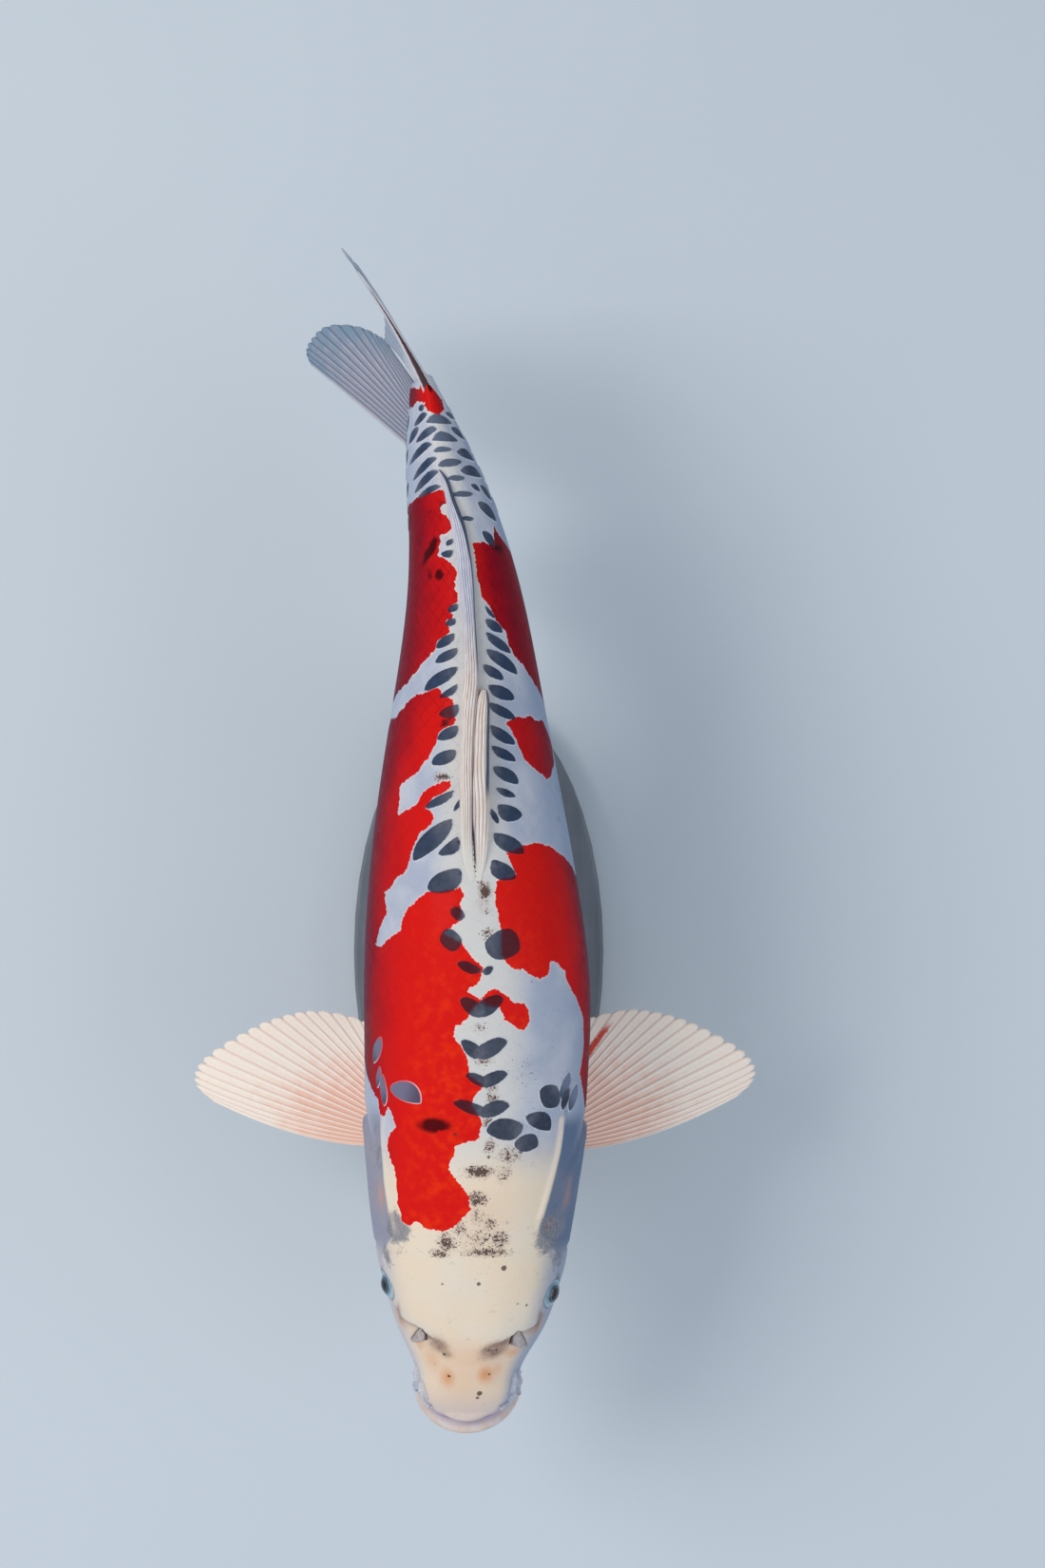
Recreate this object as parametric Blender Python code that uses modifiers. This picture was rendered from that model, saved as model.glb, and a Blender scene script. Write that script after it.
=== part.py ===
"""A koi carp, life size, swimming pose, on a plain display stand.

Metres, +Z up. The fish looks along -Y, its left side is at +X, and its tail bends towards -X.
The origin is the centre of the underside of the stand's base.
"""
import math

import bmesh
import bpy
import numpy as np
from mathutils import Matrix, Vector

# ---- driving dimensions ---------------------------------------------------------------------
AXIS_HEIGHT = 0.165        # body axis above the floor
SNOUT_Y = -0.256           # tip of the snout, where distances along the body start
NOSE_ROUNDING = 0.028      # length over which the snout rounds off
GAP = 0.0003               # space left between touching pieces
FIT = 0.0004               # how much a cutter is larger than the piece it makes room for
GILL_FIT = 0.0009          # the same for the curved gill covers

# place, distance from the snout, sideways bend, half width, back, belly, widest level (from the axis)
STATIONS = (
    ("snout", 0.000, -0.0057, 0.0276, -0.0120, -0.0400, -0.0280),
    ("mouth corners", 0.018, -0.0056, 0.0283, -0.0020, -0.0452, -0.0268),
    ("cheek folds", 0.032, -0.0051, 0.0291, 0.0072, -0.0490, -0.0238),
    ("nostrils", 0.050, -0.0043, 0.0371, 0.0185, -0.0530, -0.0175),
    ("eyes", 0.084, -0.0023, 0.0486, 0.0385, -0.0600, -0.0080),
    ("cheeks", 0.120, -0.0016, 0.0554, 0.0545, -0.0670, -0.0040),
    ("nape", 0.158, -0.0004, 0.0594, 0.0675, -0.0735, -0.0030),
    ("shoulders", 0.205, 0.0008, 0.0614, 0.0785, -0.0795, -0.0030),
    ("girth", 0.240, 0.0012, 0.0620, 0.0828, -0.0820, -0.0020),
    ("dorsal start", 0.290, -0.0010, 0.0582, 0.0838, -0.0825, 0.0000),
    ("mid back", 0.350, -0.0030, 0.0499, 0.0775, -0.0775, 0.0010),
    ("loin", 0.410, -0.0038, 0.0395, 0.0660, -0.0665, 0.0010),
    ("vent", 0.460, -0.0064, 0.0311, 0.0545, -0.0530, 0.0010),
    ("stem start", 0.500, -0.0122, 0.0246, 0.0440, -0.0410, 0.0010),
    ("stem waist", 0.535, -0.0202, 0.0175, 0.0362, -0.0335, 0.0010),
    ("tail root", 0.574, -0.0296, 0.0060, 0.0345, -0.0315, 0.0010),
)
BODY_END = STATIONS[-1][1]
# distance from the snout, lean of the back towards the fish's left, in degrees
LEAN = ((0.00, -1.5), (0.10, -1.0), (0.22, 2.6), (0.36, 1.5), (0.48, 3.0), (0.574, 6.0))
BACK_ROUNDNESS = (2.30, 1.90)      # superellipse exponent of the upper half: head, tail stem
BELLY_ROUNDNESS = (2.50, 1.90)     # the same for the lower half
AROUND = 32                        # points round a body section

HEAD_END = 0.158
TRUNK_CUTS = (0.290, 0.410)
STEM_START = 0.498

EYE_RADIUS = 0.0100
EYE_DEPTH = 0.0077                 # eye centre below the skin
EYE_PLACE = (0.0815, 0.0050)       # distance from the snout, height

GILL_CENTRE = (0.1385, -0.0110)
GILL_HALF = (0.0335, 0.0470)       # half length, half height of the gill cover
GILL_ROUNDNESS = (3.2, 2.0)        # superellipse exponent of its front and its rear half
GILL_THICKNESS = 0.0050
GILL_FLARE = 0.0010                # how far its rear edge stands off the shoulder
GILL_ROOM_DEPTH = 0.012            # how far the room cut for it reaches outside the skin

# half width, distance of its front, depth, height in front, drop at the corners, radius
UPPER_LIP = (0.0270, -0.0004, 0.0218, -0.0255, 0.0130, 0.0046)
LOWER_LIP = (0.0245, 0.0036, 0.0215, -0.0343, 0.0100, 0.0038)
LIP_THINNING = 0.38                # how much thinner the lips are at their corners
MOUTH_FRONT = (-0.005, -0.0298)    # distance and height where the mouth line starts
MOUTH_SLOPE = math.radians(-22.0)
JAW_BLOCK = (0.12, 0.16, 0.05)     # width, length and depth of the block below the mouth line
JAW_BLOCK_START = -0.02            # where the block starts, along the mouth line
JAW_RINGS = 12                    # sections of the head that reach over the lower jaw

# first and last distance, sideways place and height, then the two radii
CORNER_BARBEL = ((0.0195, 0.0310), (0.0285, 0.0294), (-0.0300, -0.0355), (0.0022, 0.0014))
FRONT_BARBEL = ((0.0110, 0.0185), (0.0196, 0.0268), (-0.0150, -0.0245), (0.0015, 0.0008))
BARBEL_ARCH = 0.0006               # how far a barbel bows out between its ends

# distance from the snout, sideways place of its middle, half width, height above the back
DORSAL = (
    (0.2950, 0.0000, 0.0010, 0.0010), (0.3050, 0.0000, 0.0060, 0.0035),
    (0.3200, 0.0002, 0.0078, 0.0070), (0.3400, 0.0010, 0.0080, 0.0095),
    (0.3650, 0.0018, 0.0080, 0.0110), (0.3950, 0.0028, 0.0074, 0.0105),
    (0.4120, 0.0010, 0.0046, 0.0080), (0.4500, 0.0002, 0.0036, 0.0060),
    (0.4850, 0.0004, 0.0034, 0.0044), (0.5050, -0.0014, 0.0026, 0.0034),
    (0.5240, -0.0042, 0.0010, 0.0014))
DORSAL_DEPTH = 0.005               # how far its solid reaches down into the back

BASE_HALF_LENGTH = 0.150
BASE_HALF_WIDTH = 0.074
BASE_THICKNESS = 0.016
BASE_EDGE = 0.002
ROD_RADIUS = 0.005
ROD_SPACING = 0.160
ROD_REACH = 0.03           # the rods are drawn to this far below the body axis, then cut off by the belly

WHITE = (0.80, 0.81, 0.82, 1.0)
IVORY = (0.84, 0.79, 0.70, 1.0)
PEACH = (0.90, 0.72, 0.60, 1.0)
RED = (0.78, 0.05, 0.02, 1.0)
EYE_COLOUR = (0.02, 0.03, 0.05, 1.0)
BASE_COLOUR = (0.16, 0.18, 0.21, 1.0)
STEEL = (0.60, 0.60, 0.62, 1.0)


# ---- scene helpers --------------------------------------------------------------------------
for old in list(bpy.data.objects):
    bpy.data.objects.remove(old)

fish_parts = bpy.data.collections.new("koi_carp")
cutters = bpy.data.collections.new("cutters")
bpy.context.scene.collection.children.link(fish_parts)
bpy.context.scene.collection.children.link(cutters)


def finish(name, colour, roughness, metallic=0.0):
    material = bpy.data.materials.new(name)
    material.use_nodes = True
    shader = material.node_tree.nodes["Principled BSDF"]
    shader.inputs["Base Color"].default_value = colour
    shader.inputs["Roughness"].default_value = roughness
    shader.inputs["Metallic"].default_value = metallic
    material.diffuse_color = colour
    return material


def add_object(name, mesh, material=None):
    body = bpy.data.objects.new(name, mesh)
    fish_parts.objects.link(body)
    if material:
        mesh.materials.append(material)
    mesh.polygons.foreach_set("use_smooth", [True] * len(mesh.polygons))
    return body


def move_to(body, collection):
    for owner in list(body.users_collection):
        owner.objects.unlink(body)
    collection.objects.link(body)


def as_cutter(body):
    move_to(body, cutters)
    body.hide_render = True
    body.display_type = "WIRE"
    return body


def cut(body, tool, operation="DIFFERENCE"):
    modifier = body.modifiers.new(tool.name, "BOOLEAN")
    modifier.operation = operation
    modifier.solver = "EXACT"
    modifier.object = tool


def smooth_line(places, values):
    """A natural cubic curve through a few points, as a function of place."""
    x = np.array(places, dtype=float)
    y = np.array(values, dtype=float)
    step = np.diff(x)
    count = len(x)
    system = np.eye(count)
    right = np.zeros(count)
    for i in range(1, count - 1):
        system[i, i - 1:i + 2] = (step[i - 1], 2 * (step[i - 1] + step[i]), step[i])
        right[i] = 6 * ((y[i + 1] - y[i]) / step[i] - (y[i] - y[i - 1]) / step[i - 1])
    bend = np.linalg.solve(system, right)

    def at(place):
        place = min(max(place, x[0]), x[-1])
        i = min(int(np.searchsorted(x, place, side="right")) - 1, count - 2)
        a = x[i + 1] - place
        b = place - x[i]
        h = step[i]
        curve = (bend[i] * a ** 3 + bend[i + 1] * b ** 3) / (6 * h)
        return float(curve + (y[i] / h - bend[i] * h / 6) * a + (y[i + 1] / h - bend[i + 1] * h / 6) * b)

    return at


# ---- the shape of the body ------------------------------------------------------------------
DISTANCES = [row[1] for row in STATIONS]
bend_at, half_width_at, back_at, belly_at, widest_at = (
    smooth_line(DISTANCES, [row[column] for row in STATIONS]) for column in range(2, 7))
lean_at = smooth_line([row[0] for row in LEAN], [row[1] for row in LEAN])


def body_point(distance, lateral, height):
    """World place of a point given along the body, to the fish's left and above its axis."""
    reach = 0.002
    near = min(max(distance, reach), BODY_END - reach)
    slope = (bend_at(near + reach) - bend_at(near - reach)) / (2 * reach)
    ahead = Vector((slope, 1.0, 0.0)).normalized()
    left = Vector((ahead.y, -ahead.x, 0.0))
    lean = math.radians(lean_at(distance))
    up = Vector((0, 0, 1)) * math.cos(lean) + left * math.sin(lean)
    side = left * math.cos(lean) - Vector((0, 0, 1)) * math.sin(lean)
    centre = Vector((bend_at(distance), SNOUT_Y + distance, AXIS_HEIGHT))
    return centre + side * lateral + up * height


def nose(distance):
    """Rounds the snout off: 0 at its tip, 1 behind the rounding."""
    part = min(max(distance / NOSE_ROUNDING, 0.0), 1.0)
    return math.sqrt(1 - (1 - part) ** 2)


def section(distance, grow=0.0):
    """Half width, rise, drop, widest level and the two exponents of a body section."""
    place = min(max(distance, 0.0), BODY_END)
    size = nose(place + grow)
    level = widest_at(place)
    share = place / BODY_END
    return (half_width_at(place) * size + grow,
            (back_at(place) - level) * size + grow,
            (level - belly_at(place)) * size + grow,
            level,
            BACK_ROUNDNESS[0] + (BACK_ROUNDNESS[1] - BACK_ROUNDNESS[0]) * share,
            BELLY_ROUNDNESS[0] + (BELLY_ROUNDNESS[1] - BELLY_ROUNDNESS[0]) * share)


def power(value, exponent):
    return math.copysign(abs(value) ** exponent, value)


def section_ring(distance, grow=0.0, points=AROUND):
    width, rise, drop, level, above, below = section(distance, grow)
    ring = []
    for i in range(points):
        angle = 2 * math.pi * i / points
        upper = math.sin(angle) >= 0
        exponent = 2 / (above if upper else below)
        lateral = width * power(math.cos(angle), exponent)
        height = level + (rise if upper else drop) * power(math.sin(angle), exponent)
        ring.append(body_point(distance, lateral, height))
    return ring


def skin_lateral(distance, height):
    """Half width of the body at one height."""
    width, rise, drop, level, above, below = section(distance)
    if height >= level:
        return width * (1 - min((height - level) / rise, 1) ** above) ** (1 / above)
    return width * (1 - min((level - height) / drop, 1) ** below) ** (1 / below)


def loft(name, rings, tip_first=None, tip_last=None):
    """A closed mesh through rings of equal length, ended by flat faces or by tips."""
    shape = bmesh.new()
    rows = [[shape.verts.new(point) for point in ring] for ring in rings]
    count = len(rows[0])
    for near, far in zip(rows, rows[1:]):
        for i in range(count):
            j = (i + 1) % count
            shape.faces.new((near[i], near[j], far[j], far[i]))
    for row, tip in ((rows[0], tip_first), (rows[-1], tip_last)):
        if tip is None:
            shape.faces.new(row)
        else:
            point = shape.verts.new(tip)
            for i in range(count):
                shape.faces.new((row[i], row[(i + 1) % count], point))
    bmesh.ops.recalc_face_normals(shape, faces=shape.faces)
    mesh = bpy.data.meshes.new(name)
    shape.to_mesh(mesh)
    shape.free()
    return mesh


def steps(start, end, count):
    return [start + (end - start) * i / count for i in range(count + 1)]


def nose_steps(grow=0.0):
    """Sections that crowd towards the rounded tip of the snout."""
    return [(NOSE_ROUNDING + grow) * (1 - math.cos(math.pi / 2 * k / 6)) - grow for k in range(1, 7)]


def body_length(name, start, end, rows, material):
    places = steps(start + GAP / 2, end - GAP / 2, rows)
    return add_object(name, loft(name, [section_ring(place) for place in places]), material)


def whole_body_cutter():
    places = nose_steps(FIT) + steps(NOSE_ROUNDING, BODY_END + FIT, 34)[1:]
    mesh = loft("body_room", [section_ring(place, FIT) for place in places],
                tip_first=body_point(-FIT, 0, widest_at(0.0)))
    return as_cutter(add_object("body_room", mesh))


# ---- head -----------------------------------------------------------------------------------
def eye_centre(side):
    distance, height = EYE_PLACE
    return body_point(distance, side * (skin_lateral(distance, height) - EYE_DEPTH), height)


def ball(name, centre, radius, around=18, down=9):
    shape = bmesh.new()
    bmesh.ops.create_uvsphere(shape, u_segments=around, v_segments=down, radius=radius)
    bmesh.ops.translate(shape, verts=shape.verts, vec=centre)
    mesh = bpy.data.meshes.new(name)
    shape.to_mesh(mesh)
    shape.free()
    return mesh


def gill_plate(name, side, grow=0.0, proud=0.0):
    """The gill cover: a curved plate whose outline is a rounded oval on the side of the head."""
    rings = (1.0, 0.75, 0.4)
    around = 24

    def place(part, angle, depth):
        roundness = GILL_ROUNDNESS[0 if math.cos(angle) < 0 else 1]
        along = (GILL_HALF[0] + grow) * part * power(math.cos(angle), 2 / roundness)
        upward = (GILL_HALF[1] + grow) * part * power(math.sin(angle), 2 / roundness)
        distance = GILL_CENTRE[0] + along
        height = GILL_CENTRE[1] + upward
        behind = max(0.0, along / GILL_HALF[0])
        flare = GILL_FLARE * behind ** 2
        return body_point(distance, side * (skin_lateral(distance, height) + flare - depth), height)

    def layer(part, depth):
        return [place(part, 2 * math.pi * i / around, depth) for i in range(around)]

    outer = -proud
    inner = GILL_THICKNESS + grow
    stack = [layer(part, outer) for part in reversed(rings)] + [layer(part, inner) for part in rings]
    mesh = loft(name, stack, tip_first=place(0.0, 0.0, outer), tip_last=place(0.0, 0.0, inner))
    return add_object(name, mesh)


def tube(name, route, radii):
    """A round tube along a smooth route, thinning as its radii say, as a closed mesh."""
    line = bpy.data.curves.new(name, "CURVE")
    line.dimensions = "3D"
    line.bevel_depth = 1.0
    line.bevel_resolution = 2
    line.use_fill_caps = True
    spline = line.splines.new("POLY")
    spline.points.add(len(route) - 1)
    for point, place, radius in zip(spline.points, route, radii):
        point.co = (*place, 1.0)
        point.radius = radius
    source = bpy.data.objects.new(name + "_line", line)
    fish_parts.objects.link(source)
    bpy.context.view_layer.update()
    evaluated = source.evaluated_get(bpy.context.evaluated_depsgraph_get())
    mesh = bpy.data.meshes.new_from_object(evaluated)
    bpy.data.objects.remove(source)
    shape = bmesh.new()
    shape.from_mesh(mesh)
    bmesh.ops.remove_doubles(shape, verts=shape.verts, dist=0.00002)
    bmesh.ops.recalc_face_normals(shape, faces=shape.faces)
    shape.to_mesh(mesh)
    shape.free()
    mesh.name = name
    return mesh


def lip_mesh(name, lip, grow=0.0):
    """A lip: half an oval round the mouth, lower and thinner at its corners than in front."""
    half_width, front, depth, front_height, drop, radius = lip
    route = []
    radii = []
    for angle in steps(-math.pi / 2, math.pi / 2, 12):
        back = 1 - math.cos(angle)
        route.append(body_point(front + depth * back, half_width * math.sin(angle),
                                front_height - drop * back))
        radii.append(radius * (1 - LIP_THINNING * back) + grow)
    return tube(name, route, radii)


def jaw_block(name, grow):
    """Everything under the slanting line of the mouth, as a block."""
    width, length, depth = JAW_BLOCK
    bpy.ops.mesh.primitive_cube_add(size=1.0)
    block = bpy.context.object
    block.name = name
    block.scale = (width, length + grow, depth + grow)
    turn = Matrix.Rotation(MOUTH_SLOPE, 4, "X")
    offset = turn @ Vector((0.0, JAW_BLOCK_START + length / 2, -depth / 2))
    block.location = body_point(MOUTH_FRONT[0], 0.0, MOUTH_FRONT[1]) + offset
    block.rotation_euler = (MOUTH_SLOPE, 0, 0)
    return as_cutter(block)


def build_head(skin_white, ivory):
    places = nose_steps() + steps(NOSE_ROUNDING, HEAD_END - GAP / 2, 11)[1:]
    tip = body_point(0.0, 0, widest_at(0.0))
    rings = [section_ring(place) for place in places]
    head = add_object("head", loft("head", rings, tip_first=tip), ivory)
    jaw = add_object("lower_jaw", loft("lower_jaw", rings[:JAW_RINGS], tip_first=tip), ivory)

    jaw_room = jaw_block("jaw_room", GAP)
    jaw_shape = jaw_block("jaw_shape", 0.0)
    add_object("upper_lip", lip_mesh("upper_lip", UPPER_LIP), ivory)
    upper_lip_room = as_cutter(add_object("upper_lip_room", lip_mesh("upper_lip_room", UPPER_LIP, FIT)))
    lower_lip = as_cutter(add_object("lower_lip", lip_mesh("lower_lip", LOWER_LIP)))
    lower_lip_room = as_cutter(add_object("lower_lip_room", lip_mesh("lower_lip_room", LOWER_LIP, FIT)))

    cut(jaw, jaw_shape, "INTERSECT")
    cut(jaw, lower_lip, "UNION")
    cut(jaw, upper_lip_room)
    cut(head, jaw_room)
    cut(head, upper_lip_room)
    cut(head, lower_lip_room)

    gill_rooms = []
    eye_gloss = finish("eye", EYE_COLOUR, 0.08)
    for side, word in ((1, "left"), (-1, "right")):
        add_object("eye_" + word, ball("eye_" + word, eye_centre(side), EYE_RADIUS), eye_gloss)
        room = ball("eye_room_" + word, eye_centre(side), EYE_RADIUS + FIT)
        cut(head, as_cutter(add_object("eye_room_" + word, room)))
        cover = gill_plate("gill_cover_" + word, side)
        cover.data.materials.append(skin_white)
        gill_room = as_cutter(gill_plate("gill_room_" + word, side, GILL_FIT, GILL_ROOM_DEPTH))
        cut(head, gill_room)
        gill_rooms.append(gill_room)
    return upper_lip_room, lower_lip_room, gill_rooms


def build_barbels(white, rooms):
    """A short pair above the upper lip and a stouter pair at the corners of the mouth."""
    for kind, barbel in (("corner", CORNER_BARBEL), ("front", FRONT_BARBEL)):
        along, lateral, height, radius = barbel
        for side, word in ((1, "left"), (-1, "right")):
            route = []
            radii = []
            for t in steps(0, 1, 6):
                arch = BARBEL_ARCH * math.sin(math.pi * t)
                route.append(body_point(along[0] + (along[1] - along[0]) * t,
                                        side * (lateral[0] + (lateral[1] - lateral[0]) * t + arch),
                                        height[0] + (height[1] - height[0]) * t))
                radii.append(radius[0] + (radius[1] - radius[0]) * t)
            name = "barbel_" + kind + "_" + word
            body = add_object(name, tube(name, route, radii), white)
            for room in rooms:
                cut(body, room)


# ---- fins -----------------------------------------------------------------------------------
def fin(name, root_front, root_rear, start_front, start_rear, tips, thickness, material,
        rays=14, rows=8, root_share=0.42):
    """A fan of bending rays, from a root line out to an outline through a few tips.

    Each ray leaves the root in a direction between start_front and start_rear, then bends to
    its tip. The web is thickest at its root, where thickness is given as (root, edge).
    """
    knots = steps(0, 1, len(tips) - 1)
    outline = [smooth_line(knots, [tip[axis] for tip in tips]) for axis in range(3)]
    shape = bmesh.new()
    grid = []
    shares = steps(0, 1, rays)
    for share in shares:
        root = root_front.lerp(root_rear, share)
        tip = Vector([axis(share) for axis in outline])
        start = start_front.lerp(start_rear, share).normalized()
        middle = root + start * ((tip - root).length * root_share)
        line = []
        for t in steps(0, 1, rows):
            line.append(shape.verts.new(root * (1 - t) ** 2 + middle * (2 * t * (1 - t)) + tip * t * t))
        grid.append(line)
    for near, far in zip(grid, grid[1:]):
        for i in range(rows):
            shape.faces.new((near[i], near[i + 1], far[i + 1], far[i]))
    mesh = bpy.data.meshes.new(name)
    shape.to_mesh(mesh)
    shape.free()
    body = add_object(name, mesh, material)
    group = body.vertex_groups.new(name="thickness")
    thin = thickness[1] / thickness[0]
    for j in range(rays + 1):
        for i, t in enumerate(steps(0, 1, rows)):
            group.add([j * (rows + 1) + i], thin + (1 - thin) * (1 - t) ** 2, "REPLACE")
    shell = body.modifiers.new("thickness", "SOLIDIFY")
    shell.thickness = thickness[0]
    shell.offset = 0.0
    shell.vertex_group = "thickness"
    shell.thickness_vertex_group = 0.0
    return body


def build_pectoral(side, word, length, sweep, material, rooms):
    """A wide fan spread flat to the side, behind and below the gill cover."""
    root = body_point(0.1640, side * 0.0465, -0.0500)
    turn = Matrix.Rotation(math.radians(side * sweep), 3, "Z")

    def spread(out, back, up):
        return turn @ Vector((side * out, back, up))

    def place(out, back, up):
        return root + spread(out, back, up) * length

    tips = ((0.100, 0.0105, -0.010), (0.110, 0.0185, -0.011), (0.1115, 0.0275, -0.011),
            (0.1035, 0.0375, -0.009), (0.0875, 0.0480, -0.006), (0.0720, 0.0560, -0.003),
            (0.0560, 0.0610, -0.001), (0.0400, 0.0625, 0.000), (0.0200, 0.0585, 0.000),
            (0.0050, 0.0510, 0.000))
    body = fin("pectoral_fin_" + word, place(-0.004, -0.0125, 0.001), place(-0.007, 0.0080, 0.000),
               spread(1.0, -0.10, 0.03), spread(0.35, 1.0, 0.02), [place(*tip) for tip in tips],
               (0.0070, 0.0012), material, rays=14, rows=6)
    for room in rooms:
        cut(body, room)


def build_pelvic(side, word, material, rooms):
    tips = ((0.350, 0.0395, -0.1110), (0.365, 0.0405, -0.1130), (0.3775, 0.0350, -0.1080),
            (0.3825, 0.0260, -0.0990), (0.3770, 0.0150, -0.0905))
    body = fin("pelvic_fin_" + word, body_point(0.298, side * 0.0190, -0.0700),
               body_point(0.323, side * 0.0115, -0.0710),
               Vector((side * 0.30, 1.0, -0.75)), Vector((side * 0.10, 1.0, -0.35)),
               [body_point(s, side * a, h) for s, a, h in tips],
               (0.0050, 0.0012), material, rays=8, rows=6)
    for room in rooms:
        cut(body, room)


def build_anal(material, rooms):
    tips = ((0.4790, -0.0050, -0.1040), (0.4920, -0.0060, -0.1055), (0.5040, -0.0068, -0.0990),
            (0.5100, -0.0070, -0.0870), (0.5080, -0.0060, -0.0730), (0.5000, -0.0040, -0.0580))
    body = fin("anal_fin", body_point(0.437, 0.0, -0.0500), body_point(0.478, 0.0, -0.0400),
               Vector((-0.02, 0.75, -0.85)), Vector((-0.05, 1.0, -0.45)),
               [body_point(*tip) for tip in tips], (0.0042, 0.0012), material, rays=9, rows=6)
    for room in rooms:
        cut(body, room)


def build_dorsal(material, rooms):
    """The dorsal fin folded flat along the back: a low soft ridge, its front lobe the widest."""
    places = [row[0] for row in DORSAL]
    middle_at, width_at, height_at = (
        smooth_line(places, [row[column] for row in DORSAL]) for column in range(1, 4))
    rings = []
    for distance in steps(places[0], places[-1], 18):
        ring = []
        for angle in steps(0, 2 * math.pi, 12)[:-1]:
            rise = height_at(distance) if math.sin(angle) > 0 else DORSAL_DEPTH
            lateral = middle_at(distance) + width_at(distance) * power(math.cos(angle), 1.1)
            ring.append(body_point(distance, lateral, back_at(distance) + rise * math.sin(angle)))
        rings.append(ring)
    body = add_object("dorsal_fin", loft("dorsal_fin", rings), material)
    for room in rooms:
        cut(body, room)


def build_caudal(material, rooms):
    """The forked tail fin: the upper lobe stands nearly on edge, the lower sweeps to the right."""
    axis = Vector((0.0, 0.0, AXIS_HEIGHT))
    along = (body_point(BODY_END, 0, 0) - body_point(BODY_END - 0.01, 0, 0)).normalized()
    fork = Vector((-0.0494, 0.3422, 0.0)) + axis
    middle = body_point(BODY_END - 0.010, 0, 0.001)
    split = Vector((0, 0, GAP * 2 / 3))
    thickness = (0.0052, 0.0014)

    upper_tips = ((-0.0682, 0.3775, 0.0900), (-0.0612, 0.3706, 0.0830), (-0.0556, 0.3640, 0.0660),
                  (-0.0490, 0.3550, 0.0430), (-0.0484, 0.3463, 0.0190))
    upper = fin("caudal_fin_upper", body_point(BODY_END - 0.008, 0, 0.0325), middle + split,
                Vector((-0.36, 0.73, 0.58)), along,
                [Vector(tip) + axis for tip in upper_tips] + [fork + split],
                thickness, material, rays=10, rows=6)

    lower_tips = ((-0.0944, 0.3392, -0.0850), (-0.0977, 0.3478, -0.0850), (-0.0935, 0.3544, -0.0780),
                  (-0.0841, 0.3591, -0.0640), (-0.0667, 0.3549, -0.0370), (-0.0550, 0.3470, -0.0140))
    lower = fin("caudal_fin_lower", body_point(BODY_END - 0.042, 0, -0.0290), middle - split,
                Vector((-0.73, 0.65, -0.55)), (fork - middle).normalized(),
                [Vector(tip) + axis for tip in lower_tips] + [fork - split],
                thickness, material, rays=12, rows=7)
    for lobe in (upper, lower):
        for room in rooms:
            cut(lobe, room)


# ---- stand ----------------------------------------------------------------------------------
def build_stand(rooms):
    dark = finish("stand_base", BASE_COLOUR, 0.45)
    steel = finish("stand_rods", STEEL, 0.30, 1.0)
    bpy.ops.mesh.primitive_cylinder_add(vertices=44, radius=1.0, depth=BASE_THICKNESS)
    base = bpy.context.object
    base.name = "stand_base"
    base.data.transform(Matrix.Diagonal((BASE_HALF_WIDTH, BASE_HALF_LENGTH, 1.0, 1.0)))
    base.location = (0, 0, BASE_THICKNESS / 2)
    base.data.materials.append(dark)
    edge = base.modifiers.new("edge", "BEVEL")
    edge.width = BASE_EDGE
    edge.segments = 1
    edge.limit_method = "ANGLE"
    move_to(base, fish_parts)
    for word, y in (("front", -ROD_SPACING / 2), ("rear", ROD_SPACING / 2)):
        low = BASE_THICKNESS + GAP
        high = AXIS_HEIGHT - ROD_REACH
        bpy.ops.mesh.primitive_cylinder_add(vertices=20, radius=ROD_RADIUS, depth=high - low)
        rod = bpy.context.object
        rod.name = "stand_rod_" + word
        rod.location = (bend_at(y - SNOUT_Y), y, (low + high) / 2)
        rod.data.materials.append(steel)
        move_to(rod, fish_parts)
        for room in rooms:
            cut(rod, room)


# ---- the whole fish -------------------------------------------------------------------------
skin_white = finish("skin", WHITE, 0.28)
ivory = finish("head_skin", IVORY, 0.30)
fin_web = finish("fin_web", PEACH, 0.40)
white_web = finish("tail_web", WHITE, 0.40)
red_skin = finish("red_skin", RED, 0.28)

body_room = whole_body_cutter()
upper_lip_room, lower_lip_room, gill_rooms = build_head(skin_white, ivory)
trunk_front = body_length("trunk_front", HEAD_END, TRUNK_CUTS[0], 6, red_skin)
for gill_room in gill_rooms:
    cut(trunk_front, gill_room)
body_length("trunk_middle", TRUNK_CUTS[0], TRUNK_CUTS[1], 6, red_skin)
body_length("trunk_rear", TRUNK_CUTS[1], STEM_START, 5, red_skin)
body_length("tail_stem", STEM_START, BODY_END, 6, skin_white)
build_barbels(skin_white, [body_room, upper_lip_room, lower_lip_room])
build_pectoral(1, "left", 1.02, 3.0, fin_web, [body_room, gill_rooms[0]])
build_pectoral(-1, "right", 1.00, 0.0, fin_web, [body_room, gill_rooms[1]])
build_pelvic(1, "left", fin_web, [body_room])
build_pelvic(-1, "right", fin_web, [body_room])
build_anal(white_web, [body_room])
build_dorsal(fin_web, [body_room])
build_caudal(white_web, [body_room])
build_stand([body_room])
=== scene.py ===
"""Looks of the koi carp: one skin with its markings, mirror scales, fins, eyes and stand.

Metres, +Z up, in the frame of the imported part: the fish looks along -Y, its left side is at +X.
Places on the body are given as distance from the lips and turn round the body, which is 0 on
the back, 90 degrees on the fish's left flank and -90 on its right. Markings use mm and degrees.
"""
import math

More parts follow.
